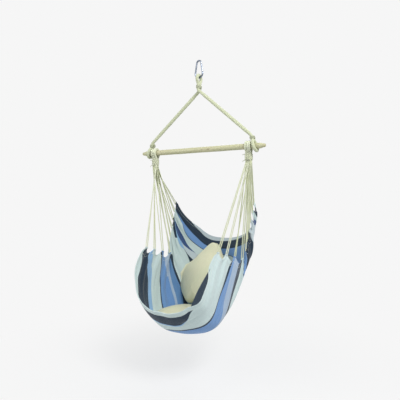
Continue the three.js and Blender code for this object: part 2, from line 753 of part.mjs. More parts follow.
// One doubled cord: down from the clew, along the top of its tab, and back up beside itself.
function doubledCord(side, tab) {
  const rows = (2 * tabs) / cordColumns;
  const start = (leg) => {
    const column = leg % cordColumns;
    const row = Math.floor(leg / cordColumns);
    const x = side * (clewAtBar - clewWidth / 2 + ((column + 1 / 2) * clewWidth) / cordColumns);
    const rowPitch = (2 * clewThickness) / rows;
    return vec(x, (row - (rows - 1) / 2) * rowPitch, clewFootZ - seatGap);
  };
  const along = edgeDirection(tab);
  const edge = edgePoint(tab);
  const ends = [-1, 1].map((way) => {
    const reach = tabWidth / 2 - cord / 2;
    const foot = edge.clone().addScaledVector(along, way * reach);
    if (tab === 0) {
      foot.addScaledVector(along, cord / 2 + reach / 2);
    }
    if (tab === tabs - 1) {
      foot.addScaledVector(along, -cord / 2 - reach / 2);
    }
    return foot;
  });
  const clew = vec(clewAtBar, 0, clewFootZ);
  const up = clew.sub(edge).normalize();
  const lift = up.addScaledVector(along, -up.dot(along)).normalize();
  const seat = tabRise + cord / 2 + seatGap;
  ends.forEach((foot) => foot.addScaledVector(lift, seat));
  const place = (point) => vec(side * point.x, point.y, point.z);
  const bend = ends.map((foot) => foot.clone().addScaledVector(lift, cord));
  const middle = ends[0].clone().lerp(ends[1], 1 / 2);
  const first = start(2 * tab);
  const second = start(2 * tab + 1);
  const below = (point) => vec(point.x, point.y, point.z - cordLead);
  const points = [
    first,
    below(first),
    place(bend[0]),
    place(ends[0].clone().lerp(middle, 1 / 3)),
    place(ends[1].clone().lerp(middle, 1 / 3)),
    place(bend[1]),
    below(second),
    second,
  ];
  const name = (side < 0 ? 'left' : 'right') + '_cord_' + String(tab + 1).padStart(2, '0');
  return named(name, tube(points, cord, cordSides), cordCotton);
}

// Cushions

// A pillow: two crowned faces that meet in a seam, with sides that draw in between the corners.
function pillow(grow) {
  const half = cushionSide / 2 + grow;
  const crown = cushionThickness / 2 + grow;
  const rows = (way) => {
    const grid = [];
    for (let i = 0; i <= cushionCells; i += 1) {
      const v = Math.sin(quarter * ((2 * i) / cushionCells - 1));
      const row = [];
      for (let j = 0; j <= cushionCells; j += 1) {
        const u = Math.sin(quarter * ((2 * j) / cushionCells - 1));
        const x = half * u * (1 - cushionPullShare * (1 - v * v) * u * u);
        const y = half * v * (1 - cushionPullShare * (1 - u * u) * v * v);
        const fill = Math.max((1 - u * u) * (1 - v * v), 0) ** cushionFullness;
        row.push(vec(x, y, way * crown * fill));
      }
      grid.push(row);
    }
    return grid;
  };
  const faces = new Faces();
  faces.grid(rows(1), false);
  faces.grid(rows(-1), true);
  return faces.geometry();
}

function placedSeatCushion(grow) {
  const { ahead, rise, tilt } = seatCushionPlace;
  const placed = pillow(grow).rotateX(radians(tilt));
  return solidOf(placed.translate(0, seatLow.y - ahead, barZ - seatLow.drop + rise));
}

function placedBackCushion() {
  const { x, behind, rise, lean, roll, turned } = backCushionPlace;
  const upright = pillow(0).rotateZ(radians(roll)).rotateX(quarter - radians(lean));
  upright.rotateZ(radians(turned)).translate(x, seatLow.y + behind, barZ - seatLow.drop + rise);
  return solidOf(upright);
}

function cushions() {
  const space = clothSpace();
  const seat = placedSeatCushion(0).intersect(space);
  const back = placedBackCushion().intersect(space).subtract(placedSeatCushion(clothGap));
  return [
    named('seat_cushion', geometryOf(seat), creamCotton),
    named('back_cushion', geometryOf(back), creamCotton),
  ];
}

function hammockChair() {
  const chair = new THREE.Group();
  chair.name = 'hammock_chair';
  chair.add(snapHookBody(), snapHookGate(), ...gatePins(), ...gatePlungerAndSpring());
  chair.add(hangingEye(), hangingRope(-1), hangingRope(1), ...ropeWhippings(), spreaderBar());
  [-1, 1].forEach((side) => {
    chair.add(clewEye(side), clewWhipping(side));
    for (let tab = 0; tab < tabs; tab += 1) {
      chair.add(doubledCord(side, tab));
    }
  });
  chair.add(clothSling(), ...cushions());
  return chair;
}

export default hammockChair();
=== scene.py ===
# %% [markdown]
# # Hammock chair
# A striped cloth sling hangs by doubled cords from a wooden spreader bar. A thick rope goes from the bar's
# two ends up to a seized eye in a snap hook, and two loose cushions lie in the cloth. Lengths are in
# metres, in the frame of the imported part: X along the bar, Y from the front of the seat to its back, Z up,
# the origin at the top of the hook.

# %% Start
import math

import bpy
import numpy as np
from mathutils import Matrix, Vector
from mathutils.bvhtree import BVHTree


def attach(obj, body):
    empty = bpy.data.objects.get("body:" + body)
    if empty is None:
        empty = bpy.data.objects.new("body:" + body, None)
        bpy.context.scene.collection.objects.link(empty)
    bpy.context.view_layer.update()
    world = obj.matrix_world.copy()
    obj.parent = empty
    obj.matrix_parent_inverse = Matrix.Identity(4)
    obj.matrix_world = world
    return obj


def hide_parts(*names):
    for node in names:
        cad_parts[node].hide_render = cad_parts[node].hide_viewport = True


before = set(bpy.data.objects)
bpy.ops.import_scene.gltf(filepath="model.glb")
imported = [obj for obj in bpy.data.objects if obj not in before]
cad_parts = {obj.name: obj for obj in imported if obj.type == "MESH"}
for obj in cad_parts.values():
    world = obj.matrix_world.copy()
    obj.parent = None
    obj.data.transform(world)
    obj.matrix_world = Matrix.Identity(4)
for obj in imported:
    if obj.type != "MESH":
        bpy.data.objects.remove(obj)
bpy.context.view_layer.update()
scene = bpy.context.scene
bar_z = -0.565
bar_radius = 0.018
side_names = {-1: "left", 1: "right"}
finishes = {}


def link(name, data):
    """A new object with this data, in the scene."""
    made = bpy.data.objects.new(name, data)
    scene.collection.objects.link(made)
    return made


# %% [markdown]
# ## Camera
# The bar's slant and the sizes of its two ends in the photograph give the place: 30 degrees to the right of
# the front, level, 2.5 m away and 0.32 m below the bar. The camera could be placed by eye too, but a long
# straight bar shows the angle more exactly.

# %% Camera
lens = bpy.data.cameras.new("camera")
lens.lens = 35.46
lens.sensor_width = 36
camera = link("camera", lens)
camera.location = (1.2655, -2.179, -0.885)
camera.rotation_euler = (math.radians(90), 0, math.radians(30))
scene.camera = camera
scene.view_settings.view_transform = "Standard"

# %% [markdown]
# ## Shader maths
# A material is written as a formula. Nodes could be added and linked one by one, but a formula is shorter to
# read. A Wire is one output of a shader node, and arithmetic on it adds Math nodes.


# %% Shader maths
def operator(operation, swapped=False):
    """A method that adds a Math node. In the swapped form the wire is the second of its inputs."""

    def method(wire, other):
        inputs = (other, wire) if swapped else (wire, other)
        return wire.finish.node("Math", *inputs, operation=operation)

    return method


class Wire:
    """One output of a shader node, on which +, -, *, / and ** add Math nodes."""

    __add__ = __radd__ = operator("ADD")
    __mul__ = __rmul__ = operator("MULTIPLY")
    __sub__, __rsub__ = operator("SUBTRACT"), operator("SUBTRACT", swapped=True)
    __truediv__, __rtruediv__ = operator("DIVIDE"), operator("DIVIDE", swapped=True)
    __pow__ = operator("POWER")

    def __init__(self, finish, socket):
        self.finish = finish
        self.socket = socket

    def math(self, operation, *others):
        """Any other Math node, with this wire as its first input."""
        return self.finish.node("Math", self, *others, operation=operation)

    def wave(self):
        """sin(2 pi x) of the value x."""
        return (self * math.tau).math("SINE")

    def within(self, middle, reach):
        """1 where the value is within reach of the middle, 0 elsewhere."""
        return self.math("COMPARE", middle, reach)

    def step(self, low, high):
        """A smooth step from 0 at low to 1 at high."""
        return self.finish.node("MapRange", self, low, high, 0.0, 1.0, interpolation_type="SMOOTHSTEP")


class Finish:
    """A material or a world in the making: its node tree and its one main shader."""

    def __init__(self, name, world=False):
        owner = finishes[name] = (bpy.data.worlds if world else bpy.data.materials).new(name)
        owner.use_nodes = True
        self.tree = owner.node_tree
        self.shader = self.tree.nodes["Background" if world else "Principled BSDF"]
        self.main = Wire(self, self.shader.outputs[0])

    def join(self, value, socket):
        """Links a wire to a socket, or sets the socket to a plain value."""
        if isinstance(value, Wire):
            self.tree.links.new(value.socket, socket)
        else:
            socket.default_value = value

    def node(self, kind, *inputs, out=0, named=None, **settings):
        """Adds any shader node, its inputs by place or by name, and returns one of its outputs."""
        made = self.tree.nodes.new("ShaderNode" + kind)
        for key, value in settings.items():
            setattr(made, key, value)
        for place, value in [*enumerate(inputs), *(named or {}).items()]:
            self.join(value, made.inputs[place])
        return Wire(self, made.outputs[out])

    def mix(self, factor, a, b, kind="MIX"):
        """The colour a mixed with the colour b by a factor from 0 to 1."""
        sockets = {0: factor, 6: a, 7: b}
        return self.node("Mix", named=sockets, out=2, data_type="RGBA", blend_type=kind)

    def layered(self, colour, *layers):
        """A colour with colours of the photograph laid over it, each by a factor from 0 to 1."""
        for factor, *tone in layers:
            colour = self.mix(factor, colour, srgb(*tone))
        return colour

    def ramp(self, value, *stops):
        """A colour from a value, by stops of a place and a colour of the photograph."""
        made = self.node("ValToRGB", value)
        elements = made.socket.node.color_ramp.elements
        while len(elements) < len(stops):
            elements.new(0.5)
        for element, (place, *tone) in zip(elements, stops):
            element.position = place
            element.color = srgb(*tone)
        return made

    def curve(self, value, points):
        """A smooth line through points of (place, height), both from 0 to 1, read at a value."""
        made = self.node("FloatCurve", 1.0, value)
        mapping = made.socket.node.mapping
        line = mapping.curves[0].points
        line[0].location, line[1].location = points[0], points[-1]
        for point in points[1:-1]:
            line.new(*point)
        for point in line:
            point.handle_type = "AUTO_CLAMPED"
        mapping.update()
        return made

    def noise(self, place, scale, detail=3.0, rough=0.5):
        """Smooth noise about 0.5 at a place, which is a wire or a tuple of its parts."""
        if isinstance(place, tuple):
            place = self.node("CombineXYZ", *place)
        sockets = {"Vector": place, "Scale": scale, "Detail": detail, "Roughness": rough}
        return self.node("TexNoise", named=sockets)

    def place(self):
        """The place on the object in metres, the same as in the part's frame."""
        return self.node("TexCoord", out=3)

    def split(self, vector):
        """The three parts of a vector."""
        return [self.node("SeparateXYZ", vector, out=i) for i in range(3)]

    def flat(self):
        """The two places in the mesh's UV map."""
        return self.split(self.node("TexCoord", out=2))[:2]

    def attribute(self, name):
        """A value stored at the mesh's points."""
        return self.node("Attribute", out=2, attribute_name=name)

    def set(self, **sockets):
        """Sets the shader's sockets by name, with _ for a space."""
        for name, value in sockets.items():
            self.join(value, self.shader.inputs[name.replace("_", " ")])

    def bump(self, height, distance):
        """A normal bent by a height from 0 to 1 that stands for a distance in metres."""
        sockets = {"Strength": 1.0, "Distance": distance, "Height": height}
        self.set(Normal=self.node("Bump", named=sockets))

    def end(self, output, factor, a, b):
        """Sends the shader a, mixed with the shader b by a factor, to the output node."""
        self.join(self.node("MixShader", factor, a, b), self.tree.nodes[output].inputs[0])

    def cotton(self, colour, rough, sheen, sheen_rough, gloss):
        """Sets what all cotton has: a colour, a rough and dull surface, and a sheen of loose fibres."""
        self.set(Base_Color=colour, Roughness=rough, Specular_IOR_Level=gloss)
        self.set(Sheen_Weight=sheen, Sheen_Roughness=sheen_rough)


def srgb(red, green, blue):
    """A colour of the photograph, 0 to 255, as the shader takes it."""
    parts = [red / 255, green / 255, blue / 255]
    return (*[p / 12.92 if p <= 0.04045 else ((p + 0.055) / 1.055) ** 2.4 for p in parts], 1.0)


def weave(u, v, period):
    """A plain weave from 0 to 1: (1 + sin(2 pi u / period) sin(2 pi v / period)) / 2."""
    return (u / period).wave() * (v / period).wave() * 0.5 + 0.5


# %% [markdown]
# ## Cotton rope and cord
# The rope is laid from seven strands and the cords from three. U counts once round the rope and V is the
# length along it in metres, and the mesh's columns follow the strands. Yarns cross each strand at a slant,
# the valleys between strands are darker with painted shade and some dirt, and long fibres vary the colour.
# A picture of rope could be wrapped round instead, but a formula on U and V stays sharp up close and has
# no seam where a picture would repeat.


# %% Cotton rope and cord
def twisted_cotton(name, pale, shade, strands, yarns, yarn_length):
    """Laid cotton: yarn lines at u n - v / l, and valleys where |sin(pi strands u)| is 1."""
    finish = Finish(name)
    u, v = finish.flat()
    valley = (u * (strands / 2)).wave().math("ABSOLUTE") ** 3.0
    yarn = (u * yarns - v / yarn_length).wave() * 0.5 + 0.5
    fibres = finish.noise((u * 14.0, v * 25.0), 3.0, 4.0, 0.7)
    patches = finish.noise(finish.place(), 18.0, 2.0)
    tone = finish.mix(finish.attribute("tone") * 0.75 + patches * 0.5 - 0.1, pale, shade)
    # painted shade, with some dirt, darkens the valleys between the strands
    colour = finish.layered(tone, (valley * 0.18, 156, 158, 118), ((fibres - 0.5) * 0.6 + 0.1, 160, 162, 122))
    finish.cotton(colour, 0.92, 0.25, 0.6, 0.2)
    finish.bump(yarn * 0.7 + fibres * 0.5 - valley * 0.6, 0.0006)


# %% [markdown]
# ## Wood
# The grain runs along X: long streaks, a few knots with a dark eye, and short cracks on the side that faces
# the camera. Wood is darker at the turned tips, where the end grain shows. A picture could be wrapped round
# the bar, but noise on the place in the bar has no seam, and the tips cut through it as a lathe cuts
# through a log.

# %% Wood
# each knot: its place along the bar, its height above the bar's axis, and its size
knots = [(-0.29, 0.004, 0.009), (0.075, -0.002, 0.014), (0.29, 0.002, 0.008)]
knot_narrowing = 0.42  # a knot's height as a share of its size along the grain


def pale_wood():
    """Grain from noise stretched along X and bent round knots.

    At d knot sizes from a knot, its dark eye has the strength (1 + 1.6 d^2)^-2.
    """
    finish = Finish("pale_wood")
    x, y, z = finish.split(finish.place())
    swirl = eyes = 0.0
    for along, height, size in knots:
        far = ((x - along) / size) ** 2.0 + ((z - bar_z - height) / (size * knot_narrowing)) ** 2.0
        front = (y * -1.0).step(0.0, 0.01)
        swirl = (1.0 / (far * 0.25 + 1.0)) * front * 0.9 + swirl
        eyes = (1.0 / (far * 1.6 + 1.0)) ** 2.0 * front + eyes
    rings = finish.noise((x * 2.2, y * 70.0, (y + z) * 70.0 + swirl * 2.0), 1.6, 5.0, 0.62)
    fine = finish.noise((x * 9.0, y * 420.0, z * 420.0), 1.4, 3.0, 0.6)
    pores = finish.noise((x * 26.0, y * 900.0, z * 900.0), 1.0, 2.0, 0.5).step(0.60, 0.72)
    stain = finish.noise((x * 5.0, y * 12.0, z * 12.0), 1.0, 2.0)
    tones = (0.25, 168, 167, 130), (0.45, 185, 184, 148), (0.6, 193, 192, 158), (0.8, 175, 174, 136)
    long_crack = z.within(bar_z - 0.0005, 0.0006) * x.within(0.03, 0.022)
    crack = long_crack + x.within(0.3135, 0.0011) * y.math("LESS_THAN", 0.0)
    colour = finish.layered(
        finish.ramp(rings, *tones),
        (fine * 0.25, 172, 166, 128),
        (stain.step(0.5, 0.8) * 0.2, 200, 178, 148),
        (eyes.step(0.1, 0.9) * 0.75, 112, 92, 62),
        (crack.math("MINIMUM", 1.0) * 0.6, 140, 96, 76),
        (x.math("ABSOLUTE").step(0.425, 0.452) * 0.35, 150, 138, 98),
        (pores * 0.2, 120, 106, 74),
    )
    finish.set(Base_Color=colour, Roughness=fine * 0.2 + 0.48, Coat_Weight=0.08)
    finish.bump(rings * 0.5 + fine * 0.3 - pores * 0.6 - crack, 0.0005)


# %% [markdown]
# ## Steel
# Zinc-plated wire: a grey-blue metal with a fine grain and a cloudy bloom. One even roughness would look like
# polished chrome, so a cloudy noise makes the metal duller in patches.


# %% Steel
def plated_steel(name, colour, rough):
    """Bright metal whose roughness follows a cloudy noise."""
    finish = Finish(name)
    cloud = finish.noise(finish.place(), 90.0, 4.0, 0.6)
    fine = finish.noise(finish.place(), 900.0, 2.0)
    dull = tuple(part * 0.72 for part in colour[:3]) + (1.0,)
    finish.set(Base_Color=finish.mix(cloud.step(0.35, 0.7), colour, dull), Metallic=1.0)
    finish.set(Roughness=cloud * 0.25 + rough)
    finish.bump(fine * 0.5 + cloud * 0.5, 0.00003)


# %% [markdown]
# ## Striped cotton
# The stripes run from one side of the chair to the other. Straight bands could be laid on the flat cloth,
# but the cloth is drawn in by other amounts at each place, so every stripe ends on a smooth curve. The
# table gives where it ends, in thousandths of the cloth from its front hem to its back hem, at nine places
# from its left end to its right end. A stripe that ends before it starts isn't seen there. The mesh stores
# the share and the place across at its points.

# %% Stripe table
pale = srgb(200, 216, 214)
grey_pale = srgb(190, 202, 206)
navy = srgb(38, 54, 70)
sky = srgb(142, 180, 216)
blue = srgb(110, 149, 198)
slate = srgb(98, 137, 180)
lilac = srgb(164, 182, 202)
ink = srgb(60, 84, 128)
stripe_places = [-1.0, -0.85, -0.7, -0.5, -0.2, 0.2, 0.5, 0.7, 1.0]
beyond = [1050] * 7  # past the back hem at the seven places from the left end
stripes = [
    (pale, 12, 42, 30, 36, 24, 22, 13, -20, -20),
    (navy, 78, 110, 155, 156, 80, 85, 10, -20, -20),
    (sky, 100, 175, 185, 192, 88, 92, 6, -20, -20),
    (pale, 205, 255, 286, 290, 166, 130, 164, 172, 172),
    (navy, 217, 267, 295, 299, 177, 140, 175, 182, 184),
    (blue, 285, 325, 440, 448, 300, 260, 262, 236, 225),
    (lilac, 325, 440, 488, 485, 370, 330, 312, 290, 275),
    (slate, 345, 515, 548, 556, 440, 400, 310, 285, 270),
    (navy, 360, 532, 592, 578, 500, 470, 356, 326, 330),
    (pale, 735, 740, 783, 774, 680, 680, 520, 475, 345),
    (navy, 785, 775, 765, 792, 810, 740, 500, 460, 330),
    (sky, 795, 785, 796, 780, 780, 720, 500, 460, 330),
    (grey_pale, 790, 780, 790, 820, 838, 780, 500, 460, 330),
    (ink, 845, 857, 856, 834, 830, 775, 500, 460, 330),
    (pale, 945, 940, 890, 877, 884, 868, 700, 475, 345),
    (navy, 948, 942, 894, 881, 889, 872, 705, 480, 350),
    (blue, 950, 955, 946, 932, 922, 922, 905, 600, 440),
    (navy, 1010, 1010, 1010, 990, 974, 982, 990, 800, 655),
    (grey_pale, *beyond, 970, 800),
    (ink, *beyond, 1000, 845),
    (pale, *beyond, 1020, 905),
    (navy, *beyond, 1030, 975),
    (pale, *beyond, 1050, 1050),
]
curve_margin = 0.1  # the curves hold shares from -0.1 to 1.1
curve_span = 1.2
hem_width = 0.018
stitch_length = 0.0055


def striped_cotton():
    """Stripes by their table, with a plain weave, uneven warp threads, and a stitched hem 18 mm wide."""
    finish = Finish("striped_cotton")
    u, v = finish.flat()
    thread = finish.noise((u * 14.0, v * 620.0), 1.0, 3.0, 0.7)
    cross = finish.noise((u * 620.0, v * 14.0), 1.0, 2.0, 0.6)
    share = (finish.attribute("share") + (thread - 0.5) * 0.0016 + curve_margin) / curve_span
    across = finish.attribute("across") * 0.5 + 0.5
    colour = pale
    for (_, *ends), (next_colour, *_) in zip(stripes, stripes[1:]):
        heights = [(end / 1000 + curve_margin) / curve_span for end in ends]
        line = [((place + 1) / 2, height) for place, height in zip(stripe_places, heights)]
        colour = finish.mix(share.math("GREATER_THAN", finish.curve(across, line)), colour, next_colour)
    rim = finish.attribute("rim")
    run = finish.attribute("run")
    stitch = rim.within(hem_width, 0.0009) * (run / stitch_length).math("FRACT").math("LESS_THAN", 0.68)
    wear = (1.0 - rim.step(0.0, 0.004)) * finish.noise(finish.place(), 60.0, 3.0).step(0.35, 0.6)
    threads = finish.ramp(thread * 0.6 + cross * 0.4, (0.3, 222, 224, 226), (0.7, 255, 255, 255))
    colour = finish.layered(
        finish.mix(0.9, colour, threads, "MULTIPLY"),
        (thread.step(0.5, 0.8) * 0.05, 240, 244, 240),
        (wear * 0.25, 226, 228, 220),
        (stitch * 0.8, 214, 220, 210),
    )
    hem = 1.0 - rim.step(hem_width - 0.0015, hem_width + 0.0005)
    slack = finish.noise(finish.place(), 26.0, 3.0, 0.55)
    finish.cotton(colour, 0.88, 0.2, 0.5, 0.25)
    finish.bump(weave(u, v, 0.0016) * 0.22 + thread * 0.3 + hem * 0.9 - stitch * 0.8 + slack * 2.2, 0.0009)


# %% [markdown]
# ## Cream cotton
# The cushions' cover: a plain weave of thicker yarns, with slubs and soft clouds of tone. The yarns could be
# modelled, but a bump of less than a millimetre is all that the camera sees of them.


# %% Cream cotton
def cream_cotton():
    """A plain weave of period 2 mm along the flat cut's U and V, with slubs from stretched noise."""
    finish = Finish("cream_cotton")
    u, v = finish.flat()
    slub_u = finish.noise((u * 25.0, v * 480.0), 1.0, 3.0, 0.6)
    slub_v = finish.noise((u * 480.0, v * 25.0), 1.0, 3.0, 0.6)
    clouds = finish.noise(finish.place(), 9.0, 3.0)
    colour = finish.layered(
        srgb(226, 224, 194),
        (slub_u.step(0.3, 0.75), 214, 213, 178),
        (slub_v.step(0.45, 0.8) * 0.4, 230, 227, 196),
        (clouds.step(0.4, 0.7) * 0.35, 214, 220, 184),
    )
    finish.cotton(colour, 0.9, 0.2, 0.5, 0.2)
    finish.bump(weave(u, v, 0.002) * 0.35 + slub_u * 0.4 + slub_v * 0.3 + clouds * 2.0, 0.0009)


# %% Materials
twisted_cotton("rope_cotton", srgb(206, 210, 182), srgb(184, 191, 156), 7, 21, 0.02)
twisted_cotton("cord_cotton", srgb(247, 249, 230), srgb(203, 211, 158), 3, 9, 0.007)
pale_wood()
plated_steel("hook_steel", srgb(134, 142, 154), 0.26)
plated_steel("pin_steel", srgb(150, 158, 170), 0.32)
striped_cotton()
cream_cotton()
print(f"made {len(finishes)} finishes: {', '.join(finishes)}")

# %% [markdown]
# ## Meshes from grids of points
# A new piece is one or more grids of points, filled in with faces of four corners and closed by flat caps.
# It could be joined from ready shapes, but a grid that is a function of two parameters bends, twists and
# swells by a formula, and its map comes from the same two parameters.


# %% Meshes from grids
class Shape:
    """Gathers grids of points into one mesh, with a UV map and named values at its points."""

    def __init__(self):
        self.points, self.corners, self.sizes, self.uvs = [], [], [], []
        self.values = {}
        self.count = 0

    def faces(self, corners, uvs):
        """Adds faces that all have as many corners, by rows of point numbers and their places in the map."""
        self.corners.append(corners.ravel())
        self.uvs.append(uvs.reshape(-1, 2))
        self.sizes.append(np.full(len(corners), corners.shape[1]))

    def grid(self, points, uv, around=False, capped=False, **values):
        """Adds a grid of rows of points.

        around joins the last column to the first, and capped closes both ends. uv is a grid of map places,
        with one more column than the points where the columns are joined.
        """
        rows, columns = points.shape[:2]
        number = np.arange(rows * columns).reshape(rows, columns) + self.count
        if around:
            number = np.concatenate([number, number[:, :1]], 1)
        self.faces(fours(number, -1).reshape(-1, 4), fours(uv, -2))
        if capped:
            self.faces(number[:1, -2::-1], uv[:1, -2::-1])
            self.faces(number[-1:, :-1], uv[-1:, :-1])
        self.points.append(points.reshape(-1, 3))
        for name, value in values.items():
            self.values.setdefault(name, []).append(np.broadcast_to(value, (rows, columns)).ravel())
        self.count += rows * columns

    def piece(self, name, slot, body, *nodes):
        """Makes the object, which takes its finish from a slot, rides on a body and stands for CAD nodes."""
        mesh = bpy.data.meshes.new(name)
        points, corners, sizes = [np.concatenate(p) for p in (self.points, self.corners, self.sizes)]
        mesh.vertices.add(len(points))
        mesh.vertices.foreach_set("co", points.astype(np.float32).ravel())
        mesh.loops.add(len(corners))
        mesh.loops.foreach_set("vertex_index", corners.astype(np.int32))
        mesh.polygons.add(len(sizes))
        starts = np.concatenate([[0], np.cumsum(sizes)[:-1]])
        mesh.polygons.foreach_set("loop_start", starts.astype(np.int32))
        mesh.polygons.foreach_set("loop_total", sizes.astype(np.int32))
        mesh.update(calc_edges=True)
        layer = mesh.uv_layers.new(name="flat")
        layer.data.foreach_set("uv", np.concatenate(self.uvs).astype(np.float32).ravel())
        for key, parts in self.values.items():
            stored = mesh.attributes.new(key, "FLOAT", "POINT")
            stored.data.foreach_set("value", np.concatenate(parts).astype(np.float32))
        mesh.shade_smooth()
        mesh.materials.append(finishes[slot])
        made = link(name, mesh)
        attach(made, body)
        if nodes:
            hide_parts(*nodes)
        print(f"made {name}: {len(points)} points, {len(sizes)} faces")
        return made


def fours(grid, axis):
    """The four corners of each cell of a grid, stacked along an axis."""
    return np.stack([grid[:-1, :-1], grid[:-1, 1:], grid[1:, 1:], grid[1:, :-1]], axis)


def round_of(grid):
    """The values along the four edges of a grid, in one round."""
    return np.concatenate([grid[0, :-1], grid[:-1, -1], grid[-1, :0:-1], grid[:0:-1, 0]])


def spread_pairs(u, v):
    """Pairs of two values, or of two grids that are spread to one shape."""
    return np.stack(np.broadcast_arrays(u, v), -1)


def unit(vectors):
    """The vectors at a length of 1."""
    return vectors / np.linalg.norm(vectors, axis=-1, keepdims=True)


def hump(value, middle, wide):
    """A smooth hump of height 1: exp(-((x - m) / w)^2)."""
    return np.exp(-(((value - middle) / wide) ** 2))


def smooth(low_end, high_end, value):
    """A smooth step from 0 at one end to 1 at the other."""
    t = np.clip((value - low_end) / (high_end - low_end), 0, 1)
    return t * t * (3 - 2 * t)


def lengths(path):
    """The length from the path's first point to each of its points."""
    return np.concatenate([[0], np.cumsum(np.linalg.norm(np.diff(path, axis=0), axis=1))])


def read_at(wanted, along, table):
    """The columns of a table at wanted places, its rows standing at the places along."""
    return np.stack([np.interp(wanted, along, column) for column in table.T], -1)


def evenly(path, step):
    """Points about a step apart along a path."""
    along = lengths(path)
    return read_at(np.linspace(0, along[-1], max(int(round(along[-1] / step)), 2) + 1), along, path)


def rounded(corners, reach, step):
    """A path of straight stretches whose corners are rounded.

    A quadratic Bezier curve from C - r a to C + r b takes the place of a corner C, where a and b are the
    directions of the stretches before and after it, and r is the reach, or half of the shorter stretch
    where that is less.
    """
    corners = np.array(corners, float)
    path = [corners[:1]]
    share = np.linspace(0, 1, 9)[:, None]
    for before, corner, after in zip(corners, corners[1:], corners[2:]):
        back, on = corner - before, after - corner
        sizes = np.linalg.norm(back), np.linalg.norm(on)
        r = min(reach, sizes[0] / 2, sizes[1] / 2)
        start, end = corner - back / sizes[0] * r, corner + on / sizes[1] * r
        path.append((1 - share) ** 2 * start + 2 * share * (1 - share) * corner + share**2 * end)
    path.append(corners[-1:])
    return evenly(np.concatenate(path), step)


def ring_points(path, angle, radius):
    """Rings of points round a path: C + r (N cos a + B sin a), with N and B carried on without a turn."""
    tangent = unit(np.gradient(path, axis=0))
    normal = np.empty_like(path)
    carried = np.eye(3)[np.argmin(np.abs(tangent[0]))]
    for i, direction in enumerate(tangent):
        normal[i] = carried = unit(carried - direction * (carried @ direction))
    binormal = np.cross(tangent, normal)
    cosine, sine = np.cos(angle)[..., None], np.sin(angle)[..., None]
    return path[:, None] + radius * (normal[:, None] * cosine + binormal[:, None] * sine)


def tube(shape, path, radius, girth, sides=10, **values):
    """Adds a round tube along a path. Its map has a girth times the angle, and the length along the path."""
    angle = np.linspace(0, math.tau, sides + 1)
    uv = spread_pairs(angle[None] * girth, lengths(path)[:, None])
    values = {name: np.reshape(value, (-1, 1)) for name, value in values.items()}
    shape.grid(ring_points(path, angle[None, :-1], radius), uv, around=True, capped=True, **values)


def laid(shape, path, diameter, strands, sides, lay, hollow, swell=1.0, **values):
    """Adds a laid rope, whose points are C + r (N cos t + B sin t) with t = a + 2 pi s / lay.

    s is the length along the path and a the angle round it. r = R (1 - hollow |sin(strands a / 2)|^2), so
    the columns of the mesh follow the strands. Over 2 mm at each end the rope rounds off, and swell makes
    it thicker or thinner along its way.
    """
    along = lengths(path)
    angle = np.linspace(0, math.tau, sides + 1)
    radius = diameter / 2 * (1 - hollow * np.sin(strands * angle[:-1] / 2) ** 2)
    left = np.clip(np.minimum(along, along[-1] - along) / 0.002, 0, 1)
    close = np.sqrt(np.clip(1 - (1 - left) ** 2 * 0.9, 0, 1))
    turned = angle[None, :-1] + math.tau * along[:, None] / lay
    reach = radius[None, :, None] * close[:, None, None] * np.reshape(swell, (-1, 1, 1))
    uv = spread_pairs(angle[None] / math.tau, along[:, None])
    shape.grid(ring_points(path, turned, reach), uv, around=True, capped=True, **values)


def laid_piece(piece, path, diameter, lay, **values):
    """The piece of one laid rope, named by its name, slot, body and node."""
    shape = Shape()
    laid(shape, path, diameter, **lay, **values)
    shape.piece(*piece)


def cos_sin(degrees):
    """The cosine and the sine of an angle."""
    return math.cos(math.radians(degrees)), math.sin(math.radians(degrees))


def turned_about(points, axis, degrees):
    """Points turned about a coordinate axis (0, 1 or 2) through the origin."""
    a, b = [(1, 2), (2, 0), (0, 1)][axis]
    cosine, sine = cos_sin(degrees)
    made = np.array(points, float)
    made[..., a] = points[..., a] * cosine - points[..., b] * sine
    made[..., b] = points[..., a] * sine + points[..., b] * cosine
    return made


def arc(x, centre_z, radius, start, end, steps):
    """Points of an arc in the YZ plane, its angles in degrees from +Y towards +Z."""
    angle = np.radians(np.linspace(start, end, steps + 1))
    return np.stack([np.full_like(angle, x), radius * np.cos(angle), centre_z + radius * np.sin(angle)], -1)


# %% [markdown]
# ## Hanging rope
# The rope's sizes are the part's: 20 mm thick, an eye over the hook's wire, and a loop round each end of
# the bar. Its strands could be separate tubes wound round each other. One skin that has a valley between
# the strands and turns along the path looks the same from outside, with fewer faces and nothing that cuts
# through itself.

# %% Hanging rope
rope = 0.020
rope_lay = {"strands": 7, "sides": 42, "lay": 0.26, "hollow": 0.11}
on_ropes = "rope_cotton", "suspension"  # slot and body
on_cords = "cord_cotton", "seat"
pair = rope / 2 + 0.0005  # from the middle of a pair of strands to the middle of each
eye_radius = 0.025
crown_z = -0.0875
eye_centre_z = crown_z - eye_radius
eye_neck_z = crown_z - 0.062
seizing_top_z = eye_neck_z - 0.004
split_z = seizing_top_z - 0.0105
loop_lean = 18
loop_x = 0.383
loop_neck = 0.036
loop_top = 0.060
clew_x = 0.343
clew_half = 0.018


def hanging_eye():
    """The eye: half a circle over the wire, whose strands close in by (1 - cos(pi t)) / 2 to the whipping."""
    share = np.linspace(0.05, 1, 16)[:, None]
    out = eye_radius + (pair - eye_radius) * (1 - np.cos(share * math.pi)) / 2
    down = np.concatenate([0 * share, out, eye_centre_z + (eye_neck_z - eye_centre_z) * share], 1)
    front = np.concatenate([down, [[0, pair, seizing_top_z], [0, pair, split_z]]])
    path = np.concatenate([front[::-1], arc(0, eye_centre_z, eye_radius, 0, 180, 28), front * [1, -1, 1]])
    piece = "laid_hanging_eye", *on_ropes, "hanging_eye_rope"
    laid_piece(piece, evenly(path, 0.0022), rope, rope_lay, tone=0.3)


def on_bar(side, points):
    """Points made about the bar's axis, leaned and moved to the loop on one side."""
    return turned_about(np.array(points, float), 1, -side * loop_lean) + [side * loop_x, 0, bar_z]


